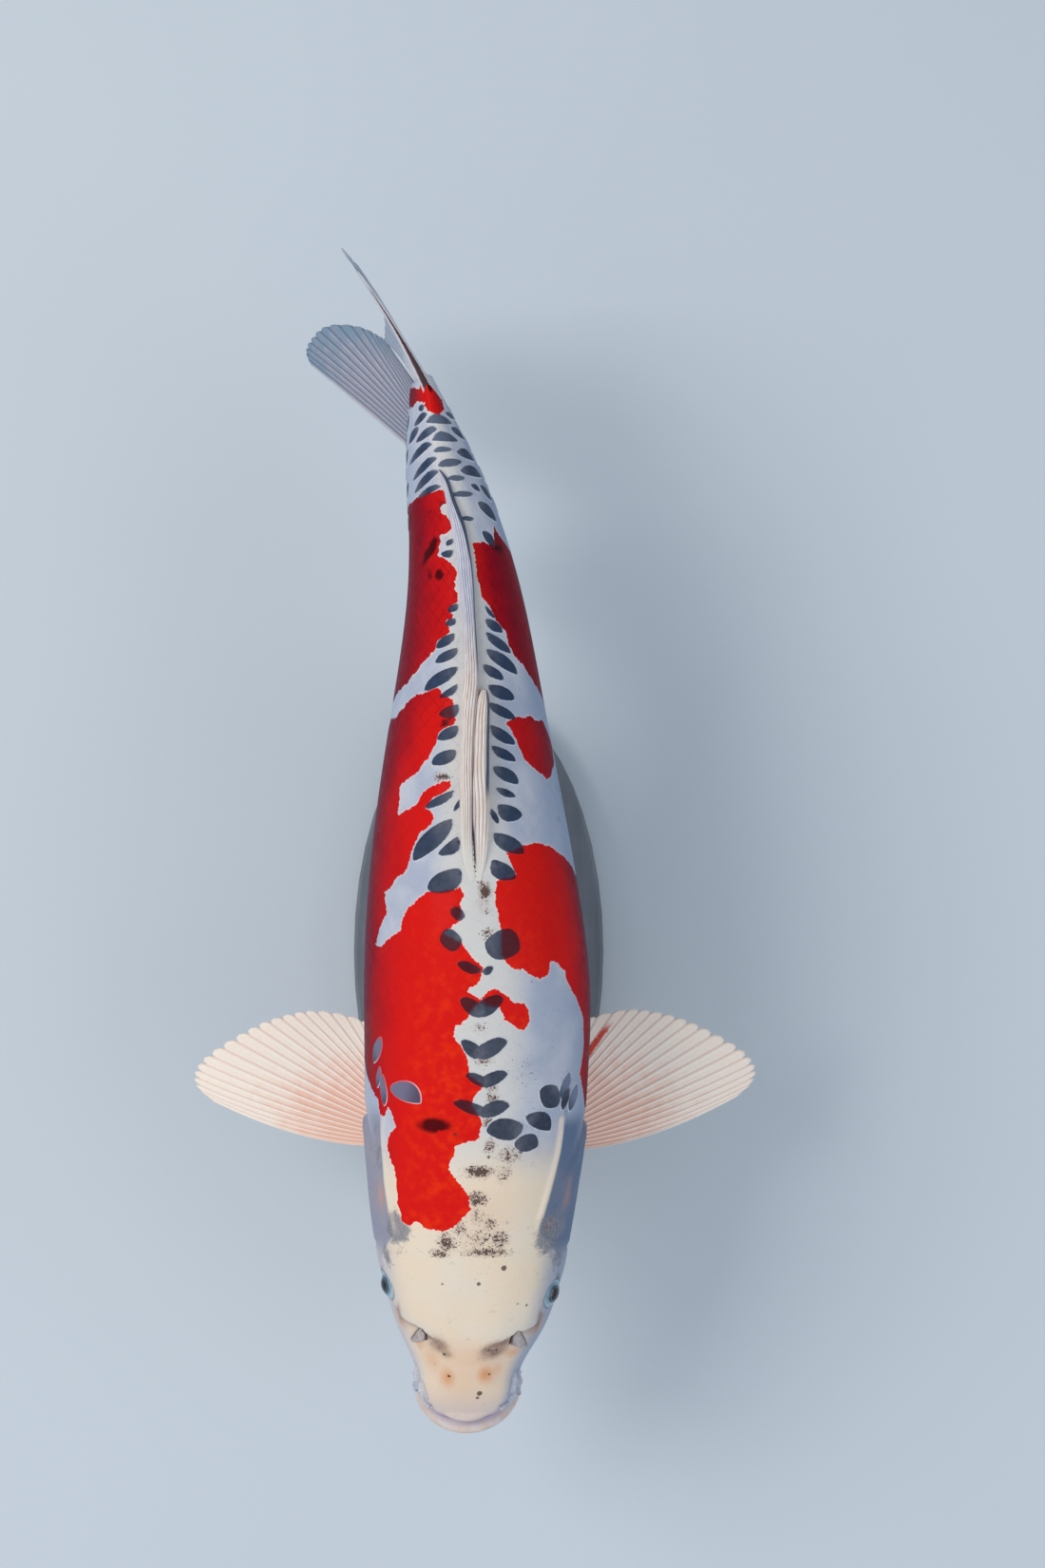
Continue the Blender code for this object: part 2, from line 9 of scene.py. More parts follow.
import bpy
import numpy as np
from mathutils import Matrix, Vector


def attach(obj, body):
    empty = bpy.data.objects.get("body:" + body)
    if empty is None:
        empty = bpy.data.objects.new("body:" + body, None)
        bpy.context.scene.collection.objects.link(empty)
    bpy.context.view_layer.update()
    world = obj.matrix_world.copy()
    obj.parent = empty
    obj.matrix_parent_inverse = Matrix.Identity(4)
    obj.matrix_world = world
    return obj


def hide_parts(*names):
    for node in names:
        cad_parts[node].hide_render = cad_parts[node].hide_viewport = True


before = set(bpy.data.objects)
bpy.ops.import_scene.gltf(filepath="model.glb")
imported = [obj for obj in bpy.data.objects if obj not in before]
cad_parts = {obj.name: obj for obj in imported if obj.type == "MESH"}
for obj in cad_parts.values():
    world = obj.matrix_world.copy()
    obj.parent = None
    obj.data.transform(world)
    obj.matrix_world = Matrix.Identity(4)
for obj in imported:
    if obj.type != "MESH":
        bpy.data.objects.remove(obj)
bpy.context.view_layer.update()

MM = 0.001
DEGREE = math.pi / 180

# ---- the shape of the body, as in the part --------------------------------------------------
AXIS_HEIGHT = 0.165
SNOUT_Y = -0.256
NOSE_ROUNDING = 0.028
# distance from the snout, sideways bend, half width, back, belly, widest level (from the axis)
STATIONS = (
    (0.000, -0.0057, 0.0276, -0.0120, -0.0400, -0.0280),
    (0.018, -0.0056, 0.0283, -0.0020, -0.0452, -0.0268),
    (0.032, -0.0051, 0.0291, 0.0072, -0.0490, -0.0238),
    (0.050, -0.0043, 0.0371, 0.0185, -0.0530, -0.0175),
    (0.084, -0.0023, 0.0486, 0.0385, -0.0600, -0.0080),
    (0.120, -0.0016, 0.0554, 0.0545, -0.0670, -0.0040),
    (0.158, -0.0004, 0.0594, 0.0675, -0.0735, -0.0030),
    (0.205, 0.0008, 0.0614, 0.0785, -0.0795, -0.0030),
    (0.240, 0.0012, 0.0620, 0.0828, -0.0820, -0.0020),
    (0.290, -0.0010, 0.0582, 0.0838, -0.0825, 0.0000),
    (0.350, -0.0030, 0.0499, 0.0775, -0.0775, 0.0010),
    (0.410, -0.0038, 0.0395, 0.0660, -0.0665, 0.0010),
    (0.460, -0.0064, 0.0311, 0.0545, -0.0530, 0.0010),
    (0.500, -0.0122, 0.0246, 0.0440, -0.0410, 0.0010),
    (0.535, -0.0202, 0.0175, 0.0362, -0.0335, 0.0010),
    (0.574, -0.0296, 0.0060, 0.0345, -0.0315, 0.0010),
)
BODY_END = STATIONS[-1][0]
LEAN = ((0.00, -1.5), (0.10, -1.0), (0.22, 2.6), (0.36, 1.5), (0.48, 3.0), (0.574, 6.0))
BACK_ROUNDNESS = (2.30, 1.90)
BELLY_ROUNDNESS = (2.50, 1.90)
FLESH_ON_TAIL = 0.006              # how far the flesh runs on over the root of the tail fin
TAIL_NARROWS = 0.80                # how much of its width it loses there
TAIL_FLATTENS = 0.30               # how much of its height


def smooth_line(places, values):
    """A natural cubic curve through a few points, as a function of an array of places."""
    x = np.array(places, dtype=float)
    y = np.array(values, dtype=float)
    step = np.diff(x)
    count = len(x)
    system = np.eye(count)
    right = np.zeros(count)
    for i in range(1, count - 1):
        system[i, i - 1:i + 2] = (step[i - 1], 2 * (step[i - 1] + step[i]), step[i])
        right[i] = 6 * ((y[i + 1] - y[i]) / step[i] - (y[i] - y[i - 1]) / step[i - 1])
    bend = np.linalg.solve(system, right)

    def at(place):
        place = np.clip(np.asarray(place, dtype=float), x[0], x[-1])
        i = np.clip(np.searchsorted(x, place, side="right") - 1, 0, count - 2)
        a = x[i + 1] - place
        b = place - x[i]
        h = step[i]
        curve = (bend[i] * a ** 3 + bend[i + 1] * b ** 3) / (6 * h)
        return curve + (y[i] / h - bend[i] * h / 6) * a + (y[i + 1] / h - bend[i + 1] * h / 6) * b

    return at


DISTANCES = [row[0] for row in STATIONS]
bend_at, half_width_at, back_at, belly_at, widest_at = (
    smooth_line(DISTANCES, [row[column] for row in STATIONS]) for column in range(1, 6))
lean_at = smooth_line([row[0] for row in LEAN], [row[1] for row in LEAN])


def smooth_step(value, low, high):
    part = np.clip((value - low) / (high - low), 0.0, 1.0)
    return part * part * (3 - 2 * part)


def hump(gap, size):
    """1 where there is no gap, falling off softly over a size."""
    return np.exp(-(gap / size) ** 2)


def window(value, rise_from, rise_to, fall_from, fall_to):
    """1 between two soft ends, 0 outside them."""
    return smooth_step(value, rise_from, rise_to) * (1 - smooth_step(value, fall_from, fall_to))


def unit(vectors):
    return vectors / np.maximum(np.linalg.norm(vectors, axis=-1, keepdims=True), 1e-12)


def body_place(distance, lateral, height):
    """World places of points given along the body, to the fish's left and above its axis."""
    distance, lateral, height = np.broadcast_arrays(*(np.asarray(v, dtype=float)
                                                      for v in (distance, lateral, height)))
    reach = 0.002
    near = np.clip(distance, 0.0, BODY_END)
    inner = np.clip(near, reach, BODY_END - reach)
    slope = (bend_at(inner + reach) - bend_at(inner - reach)) / (2 * reach)
    ahead = unit(np.stack((slope, np.ones_like(slope), np.zeros_like(slope)), -1))
    left = np.stack((ahead[..., 1], -ahead[..., 0], np.zeros_like(slope)), -1)
    lean = (lean_at(near) * DEGREE)[..., None]
    top = np.array((0.0, 0.0, 1.0))
    up = top * np.cos(lean) + left * np.sin(lean)
    side = left * np.cos(lean) - top * np.sin(lean)
    centre = np.stack((bend_at(near), SNOUT_Y + near, np.full_like(near, AXIS_HEIGHT)), -1)
    centre = centre + ahead * (distance - near)[..., None]
    return centre + side * lateral[..., None] + up * height[..., None]


def section(distance):
    """Half width, rise, drop, widest level and the two exponents of the body's sections."""
    place = np.clip(distance, 0.0, BODY_END)
    part = np.clip(place / NOSE_ROUNDING, 0.0, 1.0)
    size = np.sqrt(1 - (1 - part) ** 2)
    level = widest_at(place)
    share = place / BODY_END
    over = np.clip((distance - BODY_END) / FLESH_ON_TAIL, 0.0, 1.0)
    width = half_width_at(place) * size * (1 - TAIL_NARROWS * np.sqrt(over * (2 - over)))
    return (width,
            (back_at(place) - level) * size * (1 - TAIL_FLATTENS * over),
            (level - belly_at(place)) * size * (1 - TAIL_FLATTENS * over),
            level,
            BACK_ROUNDNESS[0] + (BACK_ROUNDNESS[1] - BACK_ROUNDNESS[0]) * share,
            BELLY_ROUNDNESS[0] + (BELLY_ROUNDNESS[1] - BELLY_ROUNDNESS[0]) * share)


def section_place(distance, turn):
    """Sideways reach and height of points on the plain body surface, turn in degrees."""
    distance, turn = np.broadcast_arrays(np.asarray(distance, dtype=float), np.asarray(turn, dtype=float))
    width, rise, drop, level, above, below = section(distance)
    sine = np.sin(turn * DEGREE)
    cosine = np.cos(turn * DEGREE)
    upper = cosine >= 0
    exponent = 2 / np.where(upper, above, below)
    lateral = width * np.sign(sine) * np.abs(sine) ** exponent
    height = level + np.where(upper, rise, drop) * np.sign(cosine) * np.abs(cosine) ** exponent
    return lateral, height


def plain_surface(distance, turn):
    lateral, height = section_place(distance, turn)
    return body_place(distance, lateral, height)


def plain_normal(distance, turn):
    """Outward direction of the plain body surface."""
    along = 0.0008
    around = 0.6
    distance = np.clip(distance, 2 * along, None)
    ahead = plain_surface(distance + along, turn) - plain_surface(distance - along, turn)
    across = plain_surface(distance, turn + around) - plain_surface(distance, turn - around)
    return unit(np.cross(across, ahead))


def skin_lateral(distance, height):
    """Half width of the body at one height."""
    width, rise, drop, level, above, below = section(distance)
    part_up = np.clip((height - level) / rise, 0.0, 1.0)
    part_down = np.clip((level - height) / drop, 0.0, 1.0)
    return np.where(height >= level, width * (1 - part_up ** above) ** (1 / above),
                    width * (1 - part_down ** below) ** (1 / below))


# ---- measuring on the skin ------------------------------------------------------------------
def mm_per_degree(distance, turn):
    """How many mm along the skin one degree of turn is worth."""
    reach = 3.0
    gap = plain_surface(distance, turn + reach) - plain_surface(distance, turn - reach)
    return np.linalg.norm(gap, axis=-1) / (2 * reach) / MM


class Spots:
    """A set of places on the skin, and how far each is from lines and outlines there."""

    def __init__(self, distance, turn):
        self.along = np.asarray(distance, dtype=float) / MM
        self.turn = np.asarray(turn, dtype=float)
        self.scale = mm_per_degree(np.asarray(distance, dtype=float), self.turn)

    def offset(self, point):
        return self.along - point[0], (self.turn - point[1]) * self.scale

    def from_segment(self, start, end):
        """Distance in mm from a segment, and the share of the way along it."""
        a, b = self.offset(start)
        da = end[0] - start[0]
        db = (end[1] - start[1]) * self.scale
        share = np.clip((a * da + b * db) / (da * da + db * db), 0.0, 1.0)
        return np.hypot(a - share * da, b - share * db), share

    def from_line(self, points):
        """Distance in mm from an open line, and the share of the way along it."""
        best = np.full(self.along.shape, np.inf)
        where = np.zeros(self.along.shape)
        pieces = len(points) - 1
        for i in range(pieces):
            gap, share = self.from_segment(points[i], points[i + 1])
            nearer = gap < best
            where = np.where(nearer, (i + share) / pieces, where)
            best = np.where(nearer, gap, best)
        return best, where

    def inside(self, outline):
        """How far inside a closed outline each place is, in mm; negative outside."""
        best = np.full(self.along.shape, np.inf)
        within = np.zeros(self.along.shape, dtype=bool)
        for start, end in zip(outline, outline[1:] + outline[:1]):
            best = np.minimum(best, self.from_segment(start, end)[0])
            if start[1] != end[1]:
                crossing = (start[1] > self.turn) != (end[1] > self.turn)
                reach = start[0] + (self.turn - start[1]) * (end[0] - start[0]) / (end[1] - start[1])
                within ^= crossing & (self.along < reach)
        return np.where(within, best, -best)

    def blob(self, centre, half_along, half_across, tilt=0.0):
        """A soft spot: 1 in the middle, falling off over its two half sizes in mm."""
        a, b = self.offset(centre)
        cosine = math.cos(tilt * DEGREE)
        sine = math.sin(tilt * DEGREE)
        long = (b * cosine + a * sine) / half_across
        short = (a * cosine - b * sine) / half_along
        return np.exp(-(long ** 2 + short ** 2))


# ---- markings -------------------------------------------------------------------------------
RED_PATCHES = (
    # right shoulder, down over the head and the right flank
    ((280, -42), (288, -41), (291, -38), (296, -32), (300, -25), (301, -8), (298, -4), (295, -8), (286,
     -7), (278, -16), (273, -8), (267, -5), (260, 1), (251, -2), (247, -7), (242, 0), (236, -5), (231,
     -8), (228, -12), (222, -13), (219, -9), (209, -5), (203, -4), (198, 2), (192, -2), (187, -2), (183,
     0), (177, 2), (168, 1), (165, -8), (158, -10), (152, -11), (148, -9), (143, -5), (137, -1), (130,
     0), (125, -3), (120, -7), (117, -13), (119, -23), (122, -28), (119, -33), (121, -39), (132, -42),
     (141, -42), (149, -44), (154, -48), (161, -50), (168, -48), (172, -43), (178, -46), (183, -50),
     (176, -53), (178, -57), (185, -59), (190, -67), (197, -76), (204, -92), (226, -104), (252, -108),
     (272, -98), (274, -69), (271, -59), (275, -52)),
    # the lobe left of the midline in front of the dorsal fin
    ((242, -1), (247, 2), (248, 6), (245, 10), (241, 14), (240, 20), (234, 22), (230, 22), (227, 19),
     (228, 15), (232, 10), (238, 7), (239, 2)),
    # right flank beside the front of the dorsal fin
    ((390, -79), (392, -66), (397, -57), (402, -49), (404, -36), (407, -24), (404, -21), (399, -12),
     (388, -10), (386, -13), (383, -21), (375, -24), (366, -31), (361, -37), (355, -49), (347, -48),
     (339, -49), (345, -34), (351, -30), (355, -23), (357, -17), (357, -12), (352, -13), (348, -23),
     (343, -27), (339, -21), (335, -23), (331, -30), (324, -34), (311, -39), (307, -46), (302, -51),
     (299, -56), (289, -54), (279, -61), (269, -66), (262, -90), (275, -104), (300, -109), (330, -104),
     (356, -109), (376, -99)),
    # right side of the rear trunk
    ((508, -104), (513, -64), (514, -30), (513, -12), (510, -8), (505, -8), (506, -18), (501, -20),
     (499, -13), (495, -6), (490, -12), (490, -22), (482, -26), (478, -28), (476, -19), (472, -13),
     (470, -9), (466, -8), (464, -11), (459, -11), (456, -8), (452, -9), (449, -16), (443, -14), (442,
     -19), (436, -14), (432, -27), (427, -29), (421, -40), (415, -48), (410, -57), (405, -72), (402,
     -95), (417, -112), (440, -105), (462, -118), (485, -109)),
    # left side of the rear trunk
    ((483, 13), (481, 38), (486, 45), (489, 45), (490, 49), (483, 59), (479, 71), (476, 100), (462,
     112), (440, 104), (421, 116), (404, 104), (397, 86), (403, 73), (410, 61), (417, 51), (422, 42),
     (428, 36), (435, 35), (442, 25), (449, 21), (452, 15), (464, 13)),
    # left flank, an oval
    ((388, 25), (390, 33), (391, 49), (389, 56), (389, 67), (383, 75), (375, 83), (367, 76), (358, 62),
     (357, 57), (363, 46), (367, 38), (374, 34), (380, 32)),
    # left shoulder and its flank
    ((319, 18), (322, 28), (323, 36), (321, 47), (314, 63), (310, 71), (302, 82), (295, 100), (275,
     112), (250, 106), (228, 111), (206, 101), (188, 92), (180, 85), (183, 75), (201, 62), (216, 65),
     (229, 63), (237, 58), (244, 51), (249, 47), (255, 46), (260, 38), (259, 35), (253, 34), (251, 28),
     (254, 24), (257, 19), (259, 13), (265, 9), (280, 10), (293, 9), (304, 10), (307, 21), (312, 20)),
    # root of the tail fin
    ((572, -20), (566, 20), (560, 44), (555, 34), (552, 9), (556, -15), (560, -22), (563, -46), (561,
     -63), (566, -112), (574, -92), (570, -46), (568, -34)),
)
# soft dark smudges in the red: place, half length, half width, tilt, strength
SMUDGES = (
    ((568, 8), 5.0, 1.6, 0, 1.1), ((456, 26), 8.0, 2.0, 12, 0.5), ((470, -38), 9.0, 3.0, 20, 0.6),
    ((482, -38), 3.4, 12.0, 42, 1.1), ((468, -27), 3.4, 3.6, 0, 1.3), ((505, -18), 2.0, 5.0, 40, 0.8),
    ((504, -35), 2.6, 5.0, 0, 0.6),
    ((175, -20), 4.5, 10.5, 2, 1.25), ((479, 44), 4.0, 9.0, 0, 0.85), ((446, 26), 2.0, 4.5, -50, 0.7),
    ((187, -7), 2.2, 5.0, -10, 0.8), ((438, -17), 1.6, 3.4, 30, 0.6), ((388, -17), 3.0, 4.5, 20, 0.9),
    ((404, -17), 2.0, 4.0, 20, 0.7), ((345, -35), 1.6, 3.0, 20, 0.5), ((260, -5), 2.0, 5.0, -15, 0.7),
    ((170, -9), 1.2, 1.2, 0, 0.6), ((509, -19), 1.6, 6.0, 30, 0.6), ((384, 28), 1.6, 2.6, 0, 0.7),
)
# round dots: place and radius in mm
DOTS = (
    ((159, 6), 0.9), ((160, 15), 0.9),
    ((97, 19), 1.5), ((88, 5), 1.1), ((76, 40), 0.8), ((87, -14), 0.7), ((32, -15), 0.9), ((22, 14),
    1.5), ((19, 12), 0.9), ((45, -17), 0.8), ((34, 23), 0.7), ((250, 24), 0.9), ((118, 5), 0.8), ((171,
    -9), 1.0), ((77, 32), 0.6), ((49, 24), 0.7), ((162, 22), 1.2),
)
# clouds of fine speckles: place, half length, half width in mm, strength
SPECKLES = (
    ((151, 2), 4.0, 9.0, 1.0), ((136, 2), 5.0, 6.0, 0.95), ((126, 3), 8.0, 6.0, 0.55), ((111, -11), 6.5,
    6.0, 0.88), ((113, 15), 6.5, 6.5, 0.82), ((106, 8), 3.4, 16.0, 0.85), ((105, -15), 3.4, 7.0, 0.82),
    ((122, 9), 5.0, 5.0, 0.72), ((119, -4), 5.5, 5.0, 0.72), ((113, 4), 9.0, 15.0, 0.54),
    ((150, 14), 7.0, 6.0, 0.6), ((160, 16), 6.0, 9.0, 0.65), ((165, 6), 5.0, 4.0, 0.8), ((178, 4), 4.0,
    4.0, 0.8), ((190, 6), 4.0, 4.5, 0.9), ((211, 1), 3.5, 6.0, 0.8), ((196, 5), 3.5, 4.0, 0.8), ((228,
    -1), 3.5, 5.0, 0.6), ((276, 4), 5.0, 5.0, 0.7), ((299, 4), 5.0, 3.6, 1.25), ((289, 4), 4.0, 4.0,
    0.55), ((307, 2), 8.0, 1.4, 1.2), ((359, -18), 2.4, 5.0, 1.15), ((351, 21), 2.6, 4.0, 0.8), ((120,
    48), 5.0, 4.0, 0.7), ((49, 19), 4.0, 5.0, 0.6), ((54, 30), 3.0, 4.0, 0.5), ((205, 20), 22.0, 18.0,
    0.3), ((180, 30), 16.0, 16.0, 0.25), ((95, 8), 20.0, 20.0, 0.16),
)
# soft tints: place, half length, half width in mm, tilt, strength
# grey: partly the head's own grey patches, partly painted shade behind and below the eyes and along the left
# flank
GREY_TINTS_AND_SHADE = (
    ((117, -44), 9.0, 8.5, 0, 1.1), ((115, 49), 11.0, 9.5, 0, 1.2), ((101, -58), 9.0, 5.0, 0, 0.6),
    ((100, 63), 9.0, 6.0, 0, 0.6), ((192, 50), 12.0, 6.0, 10, 0.6), ((250, 67), 60.0, 7.0, 0, 0.25),
    ((357, 77), 26.0, 6.0, 0, 0.4), ((333, 63), 14.0, 5.0, 0, 0.25), ((160, -61), 16.0, 9.0, 0, 0.35),
    ((84, -70), 9.0, 4.0, 0, 0.6), ((84, 72), 9.0, 4.0, 0, 0.6),
)
# brown: painted shade along the foot of the forehead's step and by the nostrils, and two brown marks on the
# back by the dorsal fin
BROWN_TINTS_AND_SHADE = (
    ((50, -20), 4.6, 6.5, -25, 1.1), ((46, -15), 3.4, 4.0, -25, 0.9), ((49, 22), 4.8, 8.0, 25, 1.5),
    ((53, 30), 2.4, 5.0, 25, 1.0), ((54, -29), 2.4, 5.0, -25, 0.8), ((65, -58), 6.5, 2.4, -20, 1.0),
    ((66, 60), 7.5, 2.6, 20, 1.2), ((300, 4), 4.0, 3.0, 0, 0.5), ((293, 2), 4.0, 3.0, 0, 0.4),
)
ORANGE_TINTS = (
    ((127, 6), 14.0, 15.0, 0, 0.40), ((27, -2), 8.0, 9.0, 0, 0.25),
    ((31, -16), 6.0, 4.5, 0, 1.5), ((34, 19), 5.5, 5.0, 0, 1.7), ((37, 30), 5.0, 4.0, 0, 0.8),
    ((43, 6), 9.0, 16.0, 0, 0.45), ((41, -31), 7.0, 6.0, 0, 0.7), ((49, -41), 3.0, 4.0, 0, 0.8),
    ((47, 43), 3.0, 5.0, 0, 1.1), ((59, -57), 3.0, 3.0, 0, 0.8), ((60, 58), 3.0, 3.0, 0, 0.8),
    ((30, 0), 14.0, 9.0, 0, 0.35), ((133, -57), 7.0, 3.5, 0, 0.8), ((137, 62), 9.0, 4.0, 0, 0.5),
    ((62, -66), 4.0, 3.0, 0, 0.6), ((62, 68), 4.0, 3.0, 0, 0.6),
)

GILL_CENTRE = (0.1385, -0.0110)
GILL_HALF = (0.0335, 0.0470)
GILL_ROUNDNESS = (3.2, 2.0)
GILL_TOP_RIDGES = (((116, 37), (130, 40), (149, 44), (161, 46), (177, 47)),
                   ((112, -45), (128, -48), (143, -51), (158, -53), (175, -54)))
FOREHEAD_EDGE = ((51, 14), (53, 20), (55, 27), (57, 32), (60, 39), (61, 47), (63, 55), (68, 61), (73, 66))
CHEEK_GROOVE = ((108, 58), (106, 76), (101, 95), (90, 110), (70, 118))
EYE_PLACE = (0.0815, 0.0050)
EYE_DEPTH = 0.0077
EYE_RADIUS = 0.0100
EYE_TILTS = {1: 33.0, -1: 27.0}    # how far each eye looks up, degrees
EYE_OPENING = 0.0058
# a nostril flap's tip towards the tail, then the inner and outer ends of its base
NOSTRIL_FLAPS = {"right": ((59.0, -34), (52.4, -32), (50.0, -53)),
                 "left": ((61.0, 39), (52.6, 36), (49.0, 61))}
FLAP_THICKNESS = 0.0005
# bumps and hollows, the same on both sides: place, half length, half width, height in mm
BULGES = (
    ((94, 84), 9.0, 14.0, 0.7), ((66, 100), 10.0, 14.0, 0.5), ((55, 42), 3.5, 5.0, -0.9),
    ((392, 180), 5.0, 3.0, -0.9), ((432, 180), 6.0, 3.2, 0.8),
)


def gill_inside(distance, height):
    """How far inside the gill cover's outline a place on the side of the head is, in mm."""
    along = (distance - GILL_CENTRE[0]) / GILL_HALF[0]
    upward = (height - GILL_CENTRE[1]) / GILL_HALF[1]
    power = np.where(along < 0, GILL_ROUNDNESS[0], GILL_ROUNDNESS[1])
    reach = (np.abs(along) ** power + np.abs(upward) ** power) ** (1 / power)
    return (1 - reach) * GILL_HALF[0] / MM, along


def forehead_step(spots):
    """Signed mm from the forehead's front edge, positive on the forehead, and the step's strength."""
    gap, share = spots.from_line(FOREHEAD_EDGE)
    edge_along, edge_turn = zip(*FOREHEAD_EDGE)
    ahead = spots.along - np.interp(spots.turn, edge_turn, edge_along)
    return gap * np.sign(ahead), window(share, 0.0, 0.30, 0.90, 1.0)


def ridge_gap(spots):
    """Distance in mm from the ridge over the nearer gill cover, and the share of the way along it."""
    left, left_share = spots.from_line(GILL_TOP_RIDGES[0])
    right, right_share = spots.from_line(GILL_TOP_RIDGES[1])
    return np.minimum(left, right), np.where(left < right, left_share, right_share)


def relief(distance, turn):
    """How far the skin stands off the plain body surface, in metres."""
    spots = Spots(distance, turn)
    along = spots.along
    flank = np.abs(turn)
    both = Spots(distance, flank)

    # the gill cover: its plate, the step down behind it and a low rib along its edge
    within, behind = gill_inside(distance, section_place(distance, turn)[1])
    behind = np.clip(behind, 0.0, 1.0)
    rise = (0.3 + 1.2 * behind) * smooth_step(within, -0.3, 1.6) * smooth_step(flank, 30, 48)
    rise -= 1.5 * behind * hump(np.minimum(within, 0.0), 7.0) * smooth_step(-within, 0.0, 1.0)
    rise += 0.35 * behind * hump(within - 5.0, 1.2)

    # the ridge over each gill cover, and the groove of the cheek
    gap, share = ridge_gap(spots)
    rise += 1.2 * hump(gap, 1.3 + 1.1 * share) * window(share, 0.0, 0.25, 0.9, 1.0)
    gap, share = both.from_line(CHEEK_GROOVE)
    rise -= 0.6 * hump(gap, 1.4) * np.sin(math.pi * np.clip(share, 0.02, 0.98)) ** 0.5

    # the step of the forehead, the end of the skull and the dip between the eyes
    over, strength = forehead_step(both)
    rise += strength * 0.9 * smooth_step(over, -0.8, 0.8) * np.exp(-np.maximum(over, 0) / 10.0)
    rise -= strength * 0.7 * hump(over + 2.2, 1.8)
    nape = smooth_step(along, 160.5, 164.5) * np.exp(-np.maximum(along - 163, 0) / 9.0)
    rise -= 0.45 * nape * (1 - smooth_step(flank, 34, 44))
    rise -= 0.5 * hump(flank * spots.scale, 7.0) * hump(along - 62, 22.0)

    # the side line, the groove of the throat, and what the table of bulges gives
    line_turn = 84 + 8 * smooth_step(along, 175, 300)
    rise -= 0.22 * hump((flank - line_turn) * spots.scale, 1.1) * window(along, 180, 200, 560, 572)
    rise -= 1.3 * hump((180 - flank) * spots.scale, 2.6) * window(along, 30, 50, 128, 146)
    for place, half_along, half_across, height in BULGES:
        rise += height * both.blob(place, half_along, half_across)

    waves = np.sin(along / 21.0 + 2.1 * np.sin(turn * DEGREE)) * np.cos(2 * turn * DEGREE + 0.7)
    rise += 0.22 * waves * smooth_step(along, 170, 230)
    return rise * MM


def skin_place(distance, turn, lift):
    """Places above the finished skin of the trunk, by lift."""
    stand_off = relief(distance, turn) + lift
    return plain_surface(distance, turn) + plain_normal(distance, turn) * stand_off[..., None]


def strongest(spots, patches):
    """The strongest of several soft spots at each place."""
    return np.max([strength * spots.blob(centre, half_along, half_across, *tilt)
                   for centre, half_along, half_across, *tilt, strength in patches], axis=0)


def markings(distance, turn):
    """The colour fields of the skin, the same for the skin and for the scales on it."""
    turn = (turn + 180) % 360 - 180
    spots = Spots(distance, turn)
    along = spots.along
    flank = np.abs(turn)
    red = np.max([spots.inside(patch) for patch in RED_PATCHES], axis=0)
    dots = np.max([radius - np.hypot(*spots.offset(place)) for place, radius in DOTS], axis=0)
    dark, speckle, grey, brown, orange = (
        strongest(spots, patches) for patches in (SMUDGES, SPECKLES, GREY_TINTS_AND_SHADE, BROWN_TINTS_AND_SHADE, ORANGE_TINTS))
    ivory = 1 - smooth_step(along, 142, 176)

    gap, share = ridge_gap(spots)
    ridge = np.exp(-(gap / (1.6 + 1.1 * share)) ** 4) * smooth_step(share, 0.0, 0.08)
    ridge *= np.where(turn > 0, 1.0, 0.35)

    # the gill cover below its ridge, with the dark skin along its edge
    within, behind = gill_inside(distance, section_place(distance, turn)[1])
    membrane = (window(within, -0.5, 0.5, 4.0, 7.5) * smooth_step(flank, 46, 54)
                * smooth_step(behind, 0.35, 0.95))
    ridge_turns = [np.interp(along, [98] + [point[0] for point in line],
                             [64] + [abs(point[1]) for point in line]) for line in GILL_TOP_RIDGES]
    outside = smooth_step((flank - np.where(turn > 0, *ridge_turns)) * spots.scale, 1.5, 4.0)
    low = smooth_step(flank, 60, 85)
    rear = (1 - low) * (1 - smooth_step(along, 172, 184)) + low * smooth_step(within, -6.0, 1.5)
    cover = outside * rear * smooth_step(along + 12 * low, 88 - 10 * low, 112 + 16 * low)

    over, strength = forehead_step(Spots(distance, flank))
    # step: painted shade in the groove at the foot of the forehead's step
    step = strength * np.exp(-np.abs(over + 0.9) / np.where(over > -0.9, 0.7, 2.4))
    ledge = strength * smooth_step(over, 0.0, 1.0) * np.exp(-np.maximum(over, 0) / 5.0)
    return {
        "marks": (red, dark, dots),
        "tints": (grey, brown, orange),
        "zones": (ivory, speckle, np.maximum(cover, membrane)),
        "forms": (ridge, np.cos(turn * DEGREE), along / BODY_END * MM),
        "steps": (step, ledge, np.sin(turn * DEGREE)),
    }


# ---- meshes ---------------------------------------------------------------------------------
def make_mesh(name, points, faces):
    mesh = bpy.data.meshes.new(name)
    mesh.from_pydata(np.asarray(points).reshape(-1, 3).tolist(), [], faces)
    mesh.update()
    mesh.polygons.foreach_set("use_smooth", [True] * len(mesh.polygons))
    body = bpy.data.objects.new(name, mesh)
    bpy.context.scene.collection.objects.link(body)
    return body


def add_field(body, name, fields):
    """Stores up to three numbers at each point, for the material to read."""
    layer = body.data.attributes.new(name, "FLOAT_VECTOR", "POINT")
    fields = [np.asarray(field, dtype=np.float32).ravel() for field in fields]
    while len(fields) < 3:
        fields.append(np.zeros_like(fields[0]))
    layer.data.foreach_set("vector", np.stack(fields, -1).ravel())


def add_map(body, corners):
    """The OFBake map: one (u, v) for each corner of each face, in order."""
    layer = body.data.uv_layers.new(name="OFBake")
    layer.data.foreach_set("uv", np.clip(np.asarray(corners, dtype=np.float32), 0.0, 1.0).ravel())


def map_rings(body, faces, u, v):
    """The OFBake map of a piece made of rings: a u for each place round a ring, a v for each ring."""
    u, v = np.meshgrid(u, v)
    rows, columns = u.shape
    corners = [k for face in faces for k in face]
    u = u.ravel()[corners]
    v = v.ravel()[corners]
    sides = u[:4 * (rows - 1) * columns].reshape(rows - 1, columns, 4)
    sides[:, -1, 1:3] = 1.0        # where a ring closes
    add_map(body, np.stack((u, v), -1))


